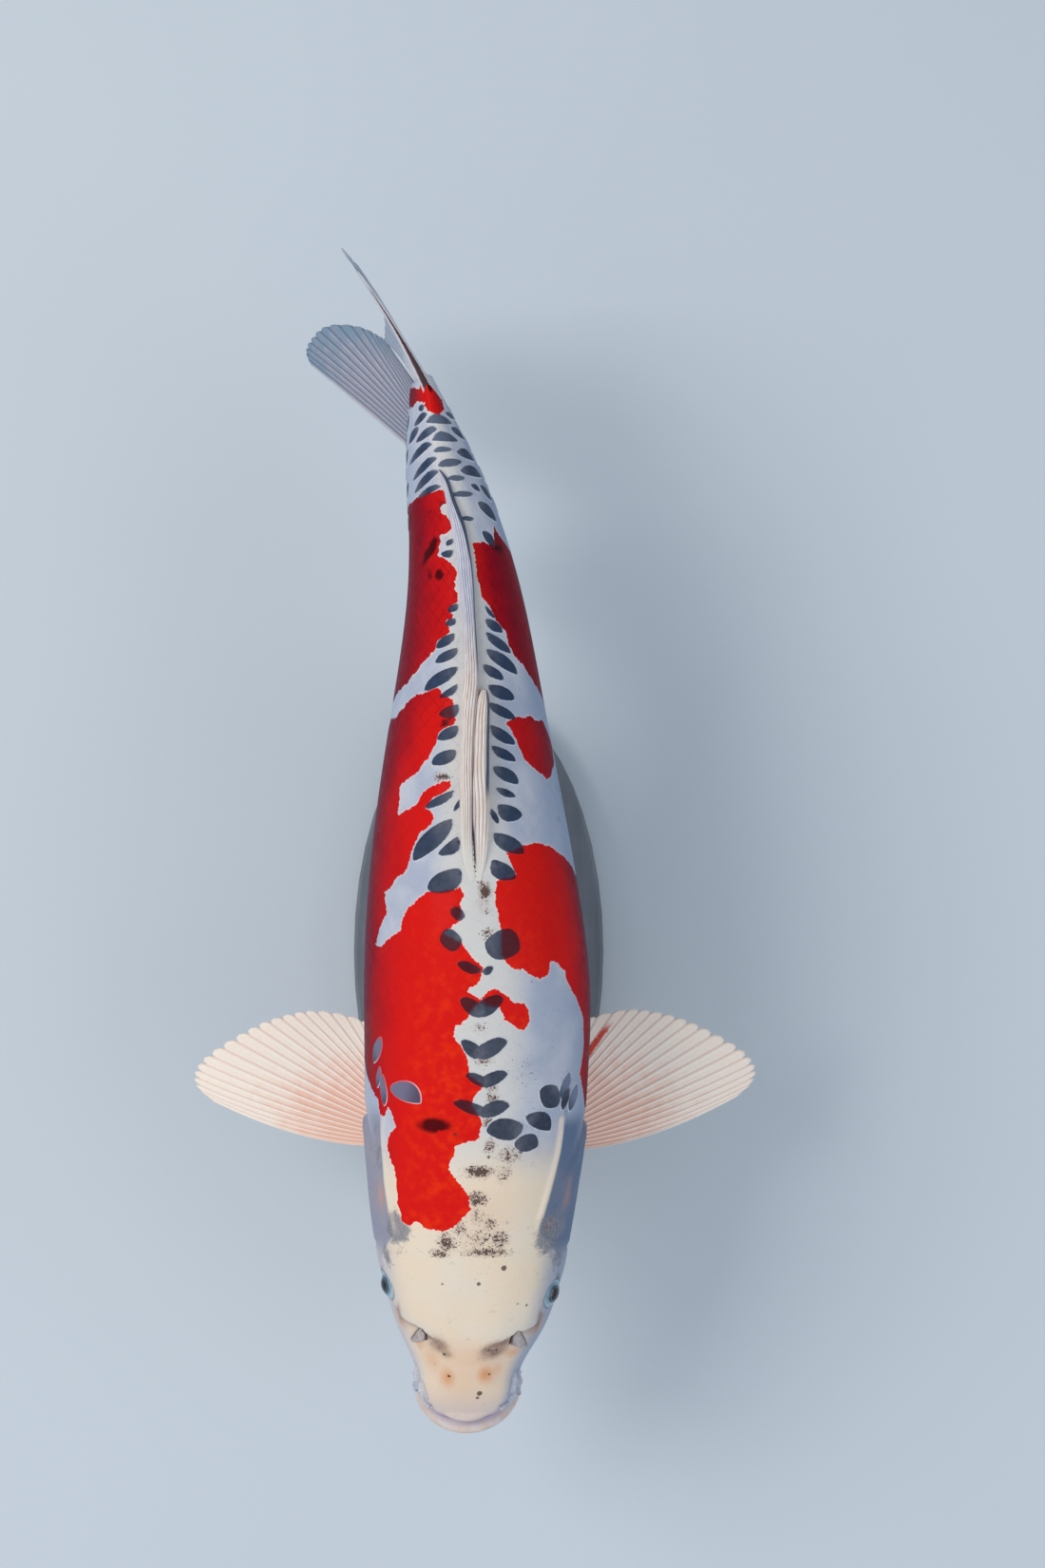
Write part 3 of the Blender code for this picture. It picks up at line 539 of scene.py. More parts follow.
def strip_faces(rows, columns, first=0):
    """Faces between rings of points, given the number of the first point."""
    faces = []
    for i in range(rows - 1):
        low = first + i * columns
        for j in range(columns):
            k = (j + 1) % columns
            faces.append((low + j, low + k, low + columns + k, low + columns + j))
    return faces


def round_faces(rows, columns):
    """Faces of a closed body of rings, with one point beyond the first and one beyond the last."""
    faces = strip_faces(rows, columns)
    last = (rows - 1) * columns
    pole = rows * columns
    faces += [((j + 1) % columns, j, pole) for j in range(columns)]
    faces += [(last + j, last + (j + 1) % columns, pole + 1) for j in range(columns)]
    return faces


def tube_faces(rows, columns):
    """Faces of a tube of rings, with one flat face over each end."""
    ends = [tuple(range(columns)), tuple(reversed(range((rows - 1) * columns, rows * columns)))]
    return strip_faces(rows, columns) + ends


def sheet_faces(rows, columns):
    """Faces of a thin sheet whose rows run along its top and back along its underside."""
    ring = 2 * columns
    last = (rows - 1) * ring
    faces = strip_faces(rows, ring)
    for j in range(columns - 1):
        faces.append((ring - 1 - j, ring - 2 - j, j + 1, j))
        faces.append((last + j, last + j + 1, last + ring - 2 - j, last + ring - 1 - j))
    return faces


def there_and_back(top, underside=None):
    """Values along the top of a sheet, then those of its underside in the other direction."""
    underside = top if underside is None else underside
    return np.concatenate((top, underside[:, ::-1]), axis=1)


def ring_piece(name, rings, faces, fields, u, v):
    """A piece made of rings of points, with its fields for the material and its map."""
    body = make_mesh(name, rings, faces)
    add_field(body, "fan", fields)
    map_rings(body, faces, u, v)
    return body


def surface_normals(points, closed):
    """Normals of a grid of points, by the slopes along its rows and columns."""
    ahead = np.gradient(points, axis=0)
    if closed:
        across = np.roll(points, -1, axis=1) - np.roll(points, 1, axis=1)
    else:
        across = np.gradient(points, axis=1)
    return unit(np.cross(across, ahead))


# ---- the skin -------------------------------------------------------------------------------
# lines round the mouth: half width, front, depth, height in front, drop at the corners
LIP_LINES = {
    "fold": (0.0218, 0.0068, 0.0225, -0.0160, 0.0150),
    "upper": (0.0266, 0.0002, 0.0218, -0.0246, 0.0130),
    "lower": (0.0245, 0.0036, 0.0215, -0.0343, 0.0100),
    "gape": (0.0262, -0.0010, 0.0222, -0.0302, 0.0115),
    "crease": (0.0246, 0.0036, 0.0215, -0.0182, 0.0140),
}
LIP_RADII = {"fold": 0.0034, "upper": 0.0050, "lower": 0.0038}
LIP_END = 0.62                     # a lip's or a fold's size at its ends, as a share of its radius
LIP_FURROWS = {"gape": (0.0020, 0.0011), "crease": (0.0006, 0.0010)}    # depth and width
# each fold's two ends in mm from the lips, and its turn
MOUTH_CORNER_FOLDS = ((15, 22, 72), (22, 31, 66), (18, 24, -60), (24, 33, -70))
CORNER_FOLD_RADIUS = 0.0024
PIT_DEPTH = 0.0010                 # of the nostrils under their flaps
EYE_BED = 0.0003                   # how far inside EYE_RADIUS the skin lies round the eye's opening
SOCKET_DEPTH = 0.0035              # how much deeper it goes behind the opening
EYE_RIM = 0.0007                   # how high the ring round the opening stands
EYE_AHEAD = 0.16                   # how much each eye looks forward
SKIN_ROWS = np.concatenate((
    NOSE_ROUNDING * (1 - np.cos(np.linspace(0, math.pi / 2, 71)[1:])),
    np.linspace(NOSE_ROUNDING, 0.180, 171)[1:],
    np.linspace(0.180, BODY_END, 146)[1:],
    BODY_END + FLESH_ON_TAIL * np.linspace(0, 1, 9)[1:]))
SKIN_TURNS = np.concatenate((
    np.linspace(-180, -105, 41)[:-1], np.linspace(-105, 105, 177)[:-1], np.linspace(105, 180, 41)[:-1]))
ROWS_ON_MAP = np.linspace(0.01, 0.99, len(SKIN_ROWS))


def lip_line(half_width, front, depth, front_height, drop):
    """Half an oval round the mouth, lower at its corners than in front."""
    angle = np.linspace(-math.pi / 2, math.pi / 2, 41)
    back = 1 - np.cos(angle)
    return body_place(front + depth * back, half_width * np.sin(angle), front_height - drop * back)


def nearest_on_line(points, line):
    """Distance from each point to a line in space, the nearest place, and its share of the line."""
    best = np.full(points.shape[:-1], np.inf)
    place = np.zeros_like(points)
    share = np.zeros(points.shape[:-1])
    pieces = len(line) - 1
    for i in range(pieces):
        start = line[i]
        run = line[i + 1] - start
        t = np.clip(((points - start) @ run) / (run @ run), 0.0, 1.0)
        near = start + t[..., None] * run
        gap = np.linalg.norm(points - near, axis=-1)
        closer = gap < best
        best = np.where(closer, gap, best)
        place = np.where(closer[..., None], near, place)
        share = np.where(closer, (i + t) / pieces, share)
    return best, place, share


def swell_to_tube(points, normals, line, radius):
    """Pushes points out along their normals until they lie on a tube round a line."""
    gap, near, share = nearest_on_line(points, line)
    size = radius * (LIP_END + (1 - LIP_END) * np.sin(math.pi * share))
    away = points - near
    depth = np.einsum("...k,...k->...", away, normals)
    inside = depth ** 2 - np.einsum("...k,...k->...", away, away) + size ** 2
    push = np.where(inside > 0, -depth + np.sqrt(np.maximum(inside, 0.0)), 0.0)
    push = np.clip(push, 0.0, 2 * radius)
    return points + normals * push[..., None], gap


def shape_mouth(points, normals):
    """Raises the lips and the folds round them and sinks the furrows; also the gap to each line."""
    gaps = {"corner": np.full(points.shape[:-1], 1.0)}
    for name, radius in LIP_RADII.items():
        points, gaps[name] = swell_to_tube(points, normals, lip_line(*LIP_LINES[name]), radius)
    for start, end, bearing in MOUTH_CORNER_FOLDS:
        fold = plain_surface(np.linspace(start, end, 9) * MM, bearing)
        points, gap = swell_to_tube(points, normals, fold, CORNER_FOLD_RADIUS)
        gaps["corner"] = np.minimum(gaps["corner"], gap)
    for name in LIP_FURROWS:
        gaps[name] = nearest_on_line(points, lip_line(*LIP_LINES[name]))[0]
    for name, (depth, width) in LIP_FURROWS.items():
        points = points - normals * (depth * hump(gaps[name], width))[..., None]
    return points, gaps


def eye_frame(side):
    """Centre and outward axis of an eye; side is 1 on the fish's left, -1 on its right."""
    distance, height = EYE_PLACE
    reach = skin_lateral(distance, height) - EYE_DEPTH
    centre = body_place(distance, side * reach, height)
    out = body_place(distance, side, height) - body_place(distance, 0.0, height)
    up = body_place(distance, 0.0, 1.0) - body_place(distance, 0.0, 0.0)
    front = np.cross(out, up) * side
    front = front if front[1] < 0 else -front
    tilt = EYE_TILTS[side] * DEGREE
    axis = unit(out * math.cos(tilt) + up * math.sin(tilt) + front * EYE_AHEAD)
    return centre, axis


def shape_sockets(points):
    """Beds each eye in the skin, in place; also the fields of the rim, the socket and the lid line."""
    rim, socket, lid = np.zeros((3, *points.shape[:-1]))
    for side in (1, -1):
        centre, axis = eye_frame(side)
        away = points - centre
        depth = away @ axis
        across = np.linalg.norm(away - depth[..., None] * axis, axis=-1)
        facing = depth > 0
        beyond = across - EYE_OPENING
        bed = np.sqrt(np.maximum(EYE_RADIUS ** 2 - across ** 2, 0.0)) - EYE_BED
        sunk = bed - SOCKET_DEPTH * (1 - smooth_step(beyond, -0.0010, 0.0002))
        blend = smooth_step(beyond, 0.0004, 0.0030)
        wanted = np.where(beyond < 0.0004, sunk, bed * (1 - blend) + depth * blend)
        ring = EYE_RIM * hump(beyond - 0.0016, 0.0010)
        shift = np.where(facing & (beyond < 0.0060), wanted - depth + ring, 0.0)
        points += axis * shift[..., None]
        rim = np.maximum(rim, facing * window(beyond, -0.0002, 0.0003, 0.0018, 0.0024))
        socket = np.maximum(socket, facing * (1 - smooth_step(across, 0.0, EYE_OPENING)))
        lid = np.maximum(lid, facing * hump(beyond - 0.0028, 0.0005))
    return rim, socket, lid


def nostril_pits(spots):
    """1 in the furrows along the two edges of each nostril flap."""
    pit = np.zeros(spots.along.shape)
    for tip, inner, outer in NOSTRIL_FLAPS.values():
        for end in (inner, outer):
            gap, share = spots.from_segment(tip, end)
            pit = np.maximum(pit, hump(gap, 0.9) * smooth_step(share, 0.0, 0.25))
    return pit


def map_skin(skin, columns):
    """The OFBake map of the skin: turn across, distance upwards, a fan of corners at each end."""
    u = np.linspace(0.0, 1.0, columns + 1)
    v = ROWS_ON_MAP
    quads = [np.stack(np.meshgrid(u[run:columns + run], v[rise:len(v) - 1 + rise]), -1)
             for rise, run in ((0, 0), (0, 1), (1, 1), (1, 0))]
    middle = (u[:-1] + u[1:]) / 2
    fans = [np.stack([np.stack((across, np.full(columns, height)), -1)
                      for across, height in ((first, level), (second, level), (middle, tip))], 1)
            for first, second, level, tip in ((u[1:], u[:-1], v[0], 0.0), (u[:-1], u[1:], v[-1], 1.0))]
    add_map(skin, np.concatenate([part.reshape(-1, 2) for part in (np.stack(quads, 2), *fans)]))


def build_skin():
    distance, turn = np.meshgrid(SKIN_ROWS, SKIN_TURNS, indexing="ij")
    outward = plain_normal(distance, turn)
    points = plain_surface(distance, turn) + outward * relief(distance, turn)[..., None]
    normals = surface_normals(points, True)
    normals *= np.sign(np.einsum("...k,...k->...", normals, outward))[..., None]
    points, gaps = shape_mouth(points, normals)
    rim, socket, lid = shape_sockets(points)
    pit = nostril_pits(Spots(distance, turn))
    points -= normals * (PIT_DEPTH * pit)[..., None]

    rows, columns = distance.shape
    tip = points[0].mean(axis=0)
    end = body_place(SKIN_ROWS[-1] + 0.0006, 0.0, widest_at(BODY_END))
    skin = make_mesh("koi_skin", np.concatenate((points.reshape(-1, 3), [tip, end])),
                     round_faces(rows, columns))

    fields = markings(distance, turn)
    crease = np.maximum(hump(gaps["crease"], 0.0042), 0.8 * hump(gaps["gape"], 0.0016))
    lips = 1 - np.minimum(smooth_step(gaps["upper"], 0.0050, 0.0064),
                          smooth_step(gaps["lower"], 0.0038, 0.0052))
    fields["mouth"] = (crease, lips, pit)
    fields["corners"] = (1 - smooth_step(gaps["corner"], 0.0020, 0.0030),
                         hump(gaps["corner"] - 0.0034, 0.0008))
    fields["eyes"] = (rim, socket, lid)
    for name, values in fields.items():
        add_field(skin, name, [np.append(value, (value[0, 0], value[-1, -1])) for value in values])
    map_skin(skin, columns)
    return skin


# ---- scales ---------------------------------------------------------------------------------
# each leaf-shaped plate: mm and degrees of its two ends, then how far its edges bulge in mm, towards
# the tail and towards the head
SCALES = (
    # before the dorsal fin, along the back
    (286, -6, 290, -13, 3.2, 3.2), (274, -8, 275, -19, 5.7, 5.7), (272, 2, 268, 19, 9.0, 7.4),
    (258, 0, 262, -11, 2.5, 3.2), (257, 0, 259, 5, 1.7, 2.5), (236, 2, 243, -10, 3.2, 4.9),
    (236, -5, 243, 9, 4.1, 4.9), (214, 2, 221, -9, 2.5, 4.9), (214, -4, 221, 11, 4.1, 4.9),
    (199, 4, 203, -6, 2.5, 3.2), (199, -2, 204, 12, 3.2, 4.1), (183, 5, 188, -11, 3.2, 3.2),
    (183, -1, 187, 14, 4.1, 4.1),
    # shoulders
    (176, 22, 173, 4, 5.7, 6.5), (181, 23, 173, 39, 6.5, 3.2), (167, 18, 165, 32, 5.7, 4.1),
    (196, 41, 186, 33, 8.2, 8.2), (196, 49, 183, 47, 3.2, 4.1),
    # left of the dorsal fin
    (449, 17, 442, 25, 0.9, 1.7), (442, 16, 435, 31, 2.5, 3.2), (435, 15, 424, 37, 2.5, 3.2),
    (426, 14, 413, 41, 4.1, 3.2), (418, 11, 410, 27, 2.5, 3.2), (407, 14, 400, 35, 3.2, 4.1),
    (398, 13, 389, 34, 2.5, 3.2), (386, 14, 376, 31, 2.5, 4.1), (375, 14, 367, 30, 2.5, 3.2),
    (364, 14, 355, 30, 4.1, 3.2), (353, 15, 348, 27, 1.7, 2.5), (342, 11, 334, 14, 1.7, 1.7),
    (344, 15, 338, 30, 2.5, 6.5), (329, 11, 318, 28, 4.1, 4.9), (315, 9, 305, 21, 3.2, 6.5),
    # right of the dorsal fin
    (486, -9, 483, -17, 1.7, 1.7), (480, -10, 479, -24, 0.9, 3.2), (451, -9, 447, -18, 1.7, 2.5),
    (443, -11, 440, -20, 1.7, 2.5), (435, -12, 428, -28, 2.5, 3.2), (427, -9, 420, -28, 2.5, 3.2),
    (417, -9, 405, -36, 4.1, 3.2), (408, -9, 401, -23, 0.9, 3.2), (397, -8, 392, -22, 1.7, 4.9),
    (386, -8, 379, -22, 2.5, 4.1), (373, -9, 366, -25, 3.2, 4.1), (352, -10, 343, -28, 1.7, 3.2),
    (348, -6, 341, -10, 0.9, 1.7), (337, -11, 316, -34, 5.7, 4.9), (328, -8, 319, -19, 0.9, 5.7),
    (311, -7, 301, -25, 4.1, 7.4),
    # the net of the tail stem, seen from above
    (547, 40, 550, -22, 4.0, 1.1), (537, 36, 540, -15, 4.5, 0.8), (533, 19, 534, -17, 2.0, 1.1),
    (526, 28, 526, -13, 2.5, 2.0), (517, 24, 518, -2, 1.7, 1.6), (508, 30, 509, -1, 1.8, 1.5),
    (495, 21, 496, 6, 1.3, 1.4), (559, -21, 558, -39, 1.4, 2.1), (551, -54, 554, -16, 2.6, 1.5),
    (542, -50, 545, -1, 3.3, 1.2), (532, -70, 538, -16, 3.9, 0.7), (523, -61, 530, -12, 3.8, 0.8),
    (516, -59, 523, -13, 4.0, 0.9), (513, -52, 515, -14, 2.7, 1.1), (549, -40, 543, -72, 3.4, 1.9),
    (553, 31, 550, 62, 2.1, 1.6), (544, 30, 538, 60, 4.1, 1.4), (531, 24, 526, 60, 4.7, 1.5),
    (521, 20, 517, 61, 4.6, 1.8), (513, 30, 509, 43, 2.3, 1.3), (512, 47, 504, 65, 4.1, 2.0),
    (503, 32, 493, 57, 4.9, 2.6), (488, 28, 479, 38, 4.4, 2.1),
)
# pale ones over the red of the right shoulder
PALE_SCALES = (
    (193, -48, 187, -28, 7.6, 2.8), (199, -55, 183, -53, 3.4, 3.4), (219, -57, 205, -65, 4.4, 4.4),
    (203, -58, 192, -60, 2.6, 2.6), (203, 50, 189, 45, 4.0, 4.0), (196, 59, 182, 53, 4.4, 4.4),
)
SCALE_RIM = 0.9                    # pale rim round the dark middle of a scale, mm
SCALE_ROUND = 32                   # points round a scale
SCALE_LIFT = 0.40                  # how far the middle stands off the skin, mm
SCALE_SUNK = 0.12                  # how far its edge goes into the skin, mm
SCALE_ON_MAP = 0.86                # a plate's size on the OFBake map, as a share of its place there
INNER_RINGS = (0.35, 0.62, 0.80, 0.91, 1.0)
OUTER_RINGS = (0.4, 0.8, 1.0)
NET_ROWS = 7
NET_LANES = 4
NET_START = (503, 84)              # first scale of the net: mm from the lips and degrees
NET_STEP = (8.6, 24)               # from row to row in mm, from lane to lane in degrees
NET_LAST_TURN = 164


def flank_scales():
    """The net of scales on the sides of the tail stem and the root of the anal fin."""
    rows = []
    for k in range(NET_ROWS):
        place = NET_START[0] + NET_STEP[0] * k
        for lane in range(NET_LANES):
            turn = NET_START[1] + NET_STEP[1] * (lane + k % 2 / 2)
            if turn < NET_LAST_TURN:
                rows += [(place + 3.4, side * (turn - 9), place - 4.4, side * (turn + 10), 3.4, 2.8)
                         for side in (1, -1)]
    return rows


def scale_outline(length, tailward, headward):
    """A leaf between two ends: offsets in mm along it and to its tail side, and its outward normals."""
    angle = np.linspace(0, 2 * math.pi, SCALE_ROUND + 1)[:-1]
    sine = np.sin(angle)
    bulge = np.where(sine > 0, tailward, headward)
    run = length / 2 * np.cos(angle)
    rise = bulge * np.sign(sine) * np.abs(sine) ** 1.22 * (1 + 0.30 * np.cos(angle) * np.sign(sine))
    outline = np.stack((run, rise), -1)
    slope = np.roll(outline, -1, axis=0) - np.roll(outline, 1, axis=0)
    return outline, unit(np.stack((slope[:, 1], -slope[:, 0]), -1))


def build_scales(name, rows, seed):
    """One joined mesh of low domed plates, each lying on the skin."""
    chance = np.random.default_rng(seed)
    points = []
    faces = []
    corners = []
    fields = {}
    plate_faces = [(0, 1 + j, 1 + (j + 1) % SCALE_ROUND) for j in range(SCALE_ROUND)]
    plate_faces += [face[::-1] for face in
                    strip_faces(len(INNER_RINGS) + len(OUTER_RINGS), SCALE_ROUND, 1)]
    for place, turn, far_place, far_turn, tailward, headward in rows:
        tone = chance.uniform(0.0, 1.0)
        first = len(points)
        middle = ((place + far_place) / 2, (turn + far_turn) / 2)
        scale = float(mm_per_degree(middle[0] * MM, middle[1]))
        chord = np.array((far_place - place, (far_turn - turn) * scale))
        length = float(np.linalg.norm(chord))
        chord = chord / length
        tail_side = np.array((-chord[1], chord[0]))
        tail_side = tail_side if tail_side[0] > 0 else -tail_side
        facing_out = chord[1] * tail_side[0] > chord[0] * tail_side[1]

        outline, outward = scale_outline(length, tailward, headward)
        half = (tailward + headward) / 2
        flat = np.concatenate([np.zeros((1, 2))] + [outline * share for share in INNER_RINGS]
                              + [outline + outward * SCALE_RIM * share for share in OUTER_RINGS])
        depths = [half * (1 - share) for share in INNER_RINGS] + [-SCALE_RIM * share for share in OUTER_RINGS]
        inside = np.append(half, np.repeat(depths, SCALE_ROUND))
        offset = flat[:, :1] * chord + flat[:, 1:] * tail_side
        distance = (middle[0] + offset[:, 0]) * MM
        bearing = middle[1] + offset[:, 1] / scale
        lift = SCALE_LIFT * smooth_step(inside, -SCALE_RIM, 0.5)
        lift -= SCALE_SUNK * smooth_step(-inside, 0.5, SCALE_RIM)
        points.extend(skin_place(distance, bearing, lift * MM))

        middle_v, *map_v = np.interp(np.append(middle[0] * MM, distance), SKIN_ROWS, ROWS_ON_MAP)
        map_v = middle_v + SCALE_ON_MAP * (map_v - middle_v)
        map_u = (middle[1] + 180 + SCALE_ON_MAP * offset[:, 1] / scale) / 360
        for face in plate_faces:
            face = face if facing_out else face[::-1]
            faces.append(tuple(first + k for k in face))
            corners.extend((map_u[k], map_v[k]) for k in face)
        own = markings(distance, bearing)
        far_end = np.clip(flat[:, 0] / length + 0.5, 0.0, 1.0)
        own["plate"] = (inside, np.full(inside.shape, tone), far_end)
        for key, values in own.items():
            fields.setdefault(key, []).append(values)
    plates = make_mesh(name, points, faces)
    for key, blocks in fields.items():
        add_field(plates, key, np.concatenate(blocks, axis=1))
    add_map(plates, corners)
    return plates


# ---- fins -----------------------------------------------------------------------------------
FAN_BEND = 0.42                    # how far out along its start a ray begins to bend
EDGE_SHARE = 0.02                  # share of the fan given to the flat leading edge
BRANCH_DEPTH = 0.30                # how much of a pleat its branches take up
FINE_NOTCH = 0.18                  # the small notches of the edge, as a share of the large ones
LEADING_RIDGE = 0.22               # height of the leading edge, as a share of the root's thickness
UNDERSIDE = 0.55                   # height of the pleats below, as a share of those above


class Fan:
    """Bending rays from a root line out to an outline through a few tips, as in the part."""

    def __init__(self, root_front, root_rear, start_front, start_rear, tips):
        self.roots = np.array((root_front, root_rear))
        self.starts = np.array((start_front, start_rear))
        knots = np.linspace(0, 1, len(tips))
        self.outline = [smooth_line(knots, [tip[axis] for tip in tips]) for axis in range(3)]

    def place(self, share, out):
        share, out = (value[..., None] for value in np.broadcast_arrays(share, out))
        root = self.roots[0] * (1 - share) + self.roots[1] * share
        start = unit(self.starts[0] * (1 - share) + self.starts[1] * share)
        tip = np.concatenate([axis(share) for axis in self.outline], -1)
        middle = root + start * np.linalg.norm(tip - root, axis=-1, keepdims=True) * FAN_BEND
        return root * (1 - out) ** 2 + middle * (2 * out * (1 - out)) + tip * out ** 2


def saw(value):
    """A sloping pleat: rises slowly over each ray and falls off sharply at its end."""
    return window(value % 1.0, 0.0, 0.72, 0.84, 1.0)


def build_fin(name, fan, rays, thickness, pleat, notch, rows=64, per_ray=12, notch_from=0.06, flip=1.0):
    """A thin solid fin with pleated rays, and a free edge cut into the ends of its rays.

    Thickness is that of the root and of the edge, pleat the height of the rays, notch the share
    of a ray's length that the edge is cut in, and notch_from the share of the fan left uncut.
    """
    columns = rays * per_ray + 1
    share = np.linspace(0, 1, columns)
    tooth = np.abs(np.sin(math.pi * ((share * rays) % 1.0))) ** 0.55
    fine = np.abs(np.sin(3 * math.pi * share * rays))
    wanted = smooth_step(share, notch_from, notch_from + 0.10)
    length = 1 - notch * wanted * (1 - tooth + FINE_NOTCH * (1 - fine))
    out = np.linspace(0, 1, rows)[:, None] * length[None, :]
    across = np.broadcast_to(share, out.shape)
    middle = fan.place(across, out)
    normals = surface_normals(middle, False) * flip
    ray = across * rays
    split = smooth_step(out, 0.42, 0.70) * BRANCH_DEPTH
    lobes = saw(ray) * (1 - split) + split * (0.5 - 0.5 * np.cos(4 * math.pi * ray))
    height = pleat * smooth_step(out, 0.02, 0.16) * lobes * (1 - 0.35 * out)
    solid = thickness[1] + (thickness[0] - thickness[1]) * (1 - out) ** 2
    leading = thickness[0] * LEADING_RIDGE * hump(across, EDGE_SHARE) * (1 - 0.6 * out)
    upper = middle + normals * (solid / 2 + height + leading)[..., None]
    lower = middle - normals * (solid / 2 + height * UNDERSIDE + leading)[..., None]
    fields = (there_and_back(ray), there_and_back(out), there_and_back(across, -across - EDGE_SHARE))
    return ring_piece(name, there_and_back(upper, lower), sheet_faces(rows, columns), fields,
                      np.append(0.01 + 0.48 * share, 0.51 + 0.48 * share), np.linspace(0.02, 0.98, rows))


def pectoral_fan(side, length, sweep):
    root = body_place(0.1640, side * 0.0465, -0.0500)
    turn = side * sweep * DEGREE
    spin = np.array(((math.cos(turn), -math.sin(turn), 0), (math.sin(turn), math.cos(turn), 0), (0, 0, 1)))

    def spread(out, back, up):
        return spin @ np.array((side * out, back, up))

    tips = ((0.100, 0.0105, -0.010), (0.110, 0.0185, -0.011), (0.1115, 0.0275, -0.011),
            (0.1035, 0.0375, -0.009), (0.0875, 0.0480, -0.006), (0.0720, 0.0560, -0.003),
            (0.0560, 0.0610, -0.001), (0.0400, 0.0625, 0.000), (0.0200, 0.0585, 0.000),
            (0.0050, 0.0510, 0.000))
    return Fan(root + spread(-0.004, -0.0125, 0.001) * length, root + spread(-0.007, 0.0080, 0.000) * length,
               spread(1.0, -0.10, 0.03), spread(0.35, 1.0, 0.02),
               [root + spread(*tip) * length for tip in tips])


def pelvic_fan(side):
    tips = ((0.350, 0.0395, -0.1110), (0.365, 0.0405, -0.1130), (0.3775, 0.0350, -0.1080),
            (0.3825, 0.0260, -0.0990), (0.3770, 0.0150, -0.0905))
    return Fan(body_place(0.298, side * 0.0190, -0.0700), body_place(0.323, side * 0.0115, -0.0710),
               (side * 0.30, 1.0, -0.75), (side * 0.10, 1.0, -0.35),
               [body_place(s, side * a, h) for s, a, h in tips])


def anal_fan():
    tips = ((0.4790, -0.0050, -0.1040), (0.4920, -0.0060, -0.1055), (0.5040, -0.0068, -0.0990),
            (0.5100, -0.0070, -0.0870), (0.5080, -0.0060, -0.0730), (0.5000, -0.0040, -0.0580))
    return Fan(body_place(0.437, 0.0, -0.0500), body_place(0.478, 0.0, -0.0400),
               (-0.02, 0.75, -0.85), (-0.05, 1.0, -0.45), [body_place(*tip) for tip in tips])


def caudal_fans():
    """The upper lobe stands nearly on edge; the lower sweeps to the fish's right."""
    axis = np.array((0.0, 0.0, AXIS_HEIGHT))
    along = unit(body_place(BODY_END, 0, 0) - body_place(BODY_END - 0.01, 0, 0))
    fork = np.array((-0.0494, 0.3422, 0.0)) + axis
    middle = body_place(BODY_END - 0.010, 0, 0.001)
    upper = ((-0.0682, 0.3775, 0.0900), (-0.0612, 0.3706, 0.0830), (-0.0556, 0.3640, 0.0660),
             (-0.0490, 0.3550, 0.0430), (-0.0484, 0.3463, 0.0190))
    lower = ((-0.0944, 0.3392, -0.0850), (-0.0977, 0.3478, -0.0850), (-0.0935, 0.3544, -0.0780),
             (-0.0841, 0.3591, -0.0640), (-0.0667, 0.3549, -0.0370), (-0.0550, 0.3470, -0.0140))
    return (Fan(body_place(BODY_END - 0.008, 0, 0.0325), middle, (-0.36, 0.73, 0.58), along,
                [np.array(tip) + axis for tip in upper] + [fork]),
            Fan(body_place(BODY_END - 0.042, 0, -0.0290), middle, (-0.73, 0.65, -0.55),
                unit(fork - middle), [np.array(tip) + axis for tip in lower] + [fork]))


# distance from lips, then the two edges of each bundle to the fish's left of the back, and its rise
DORSAL_STRIP = ((0.3040, -2.6, 0.0, 0.1), (0.3120, -5.0, 0.2, 0.8), (0.3220, -6.6, 0.6, 2.7),
                (0.3400, -6.5, 1.2, 7.0), (0.3600, -5.8, 2.2, 9.6), (0.3800, -5.0, 3.2, 9.4),
                (0.3975, -4.3, 4.8, 8.6), (0.4080, -3.4, 5.0, 7.6), (0.4300, -3.1, 4.3, 6.4),
                (0.4490, -3.1, 4.0, 5.6), (0.4650, -3.5, 4.4, 5.0), (0.4840, -3.4, 4.1, 4.2),
                (0.4950, -4.1, 3.2, 3.8), (0.5040, -4.3, 1.3, 3.2), (0.5120, -4.1, 0.3, 2.6),
                (0.5190, -4.6, -1.0, 1.9), (0.5238, -4.8, -3.8, 1.0))
DORSAL_LOBE = ((0.3040, 0.0, 2.8, 0.1), (0.3120, -0.2, 5.4, 0.8), (0.3220, -0.5, 7.6, 2.7),
               (0.3400, -0.8, 9.1, 7.4), (0.3600, 0.0, 9.8, 10.0), (0.3800, 1.2, 10.2, 10.2),
               (0.3950, 2.8, 10.5, 9.8), (0.4010, 4.2, 10.1, 9.2), (0.4045, 6.0, 9.1, 8.8))


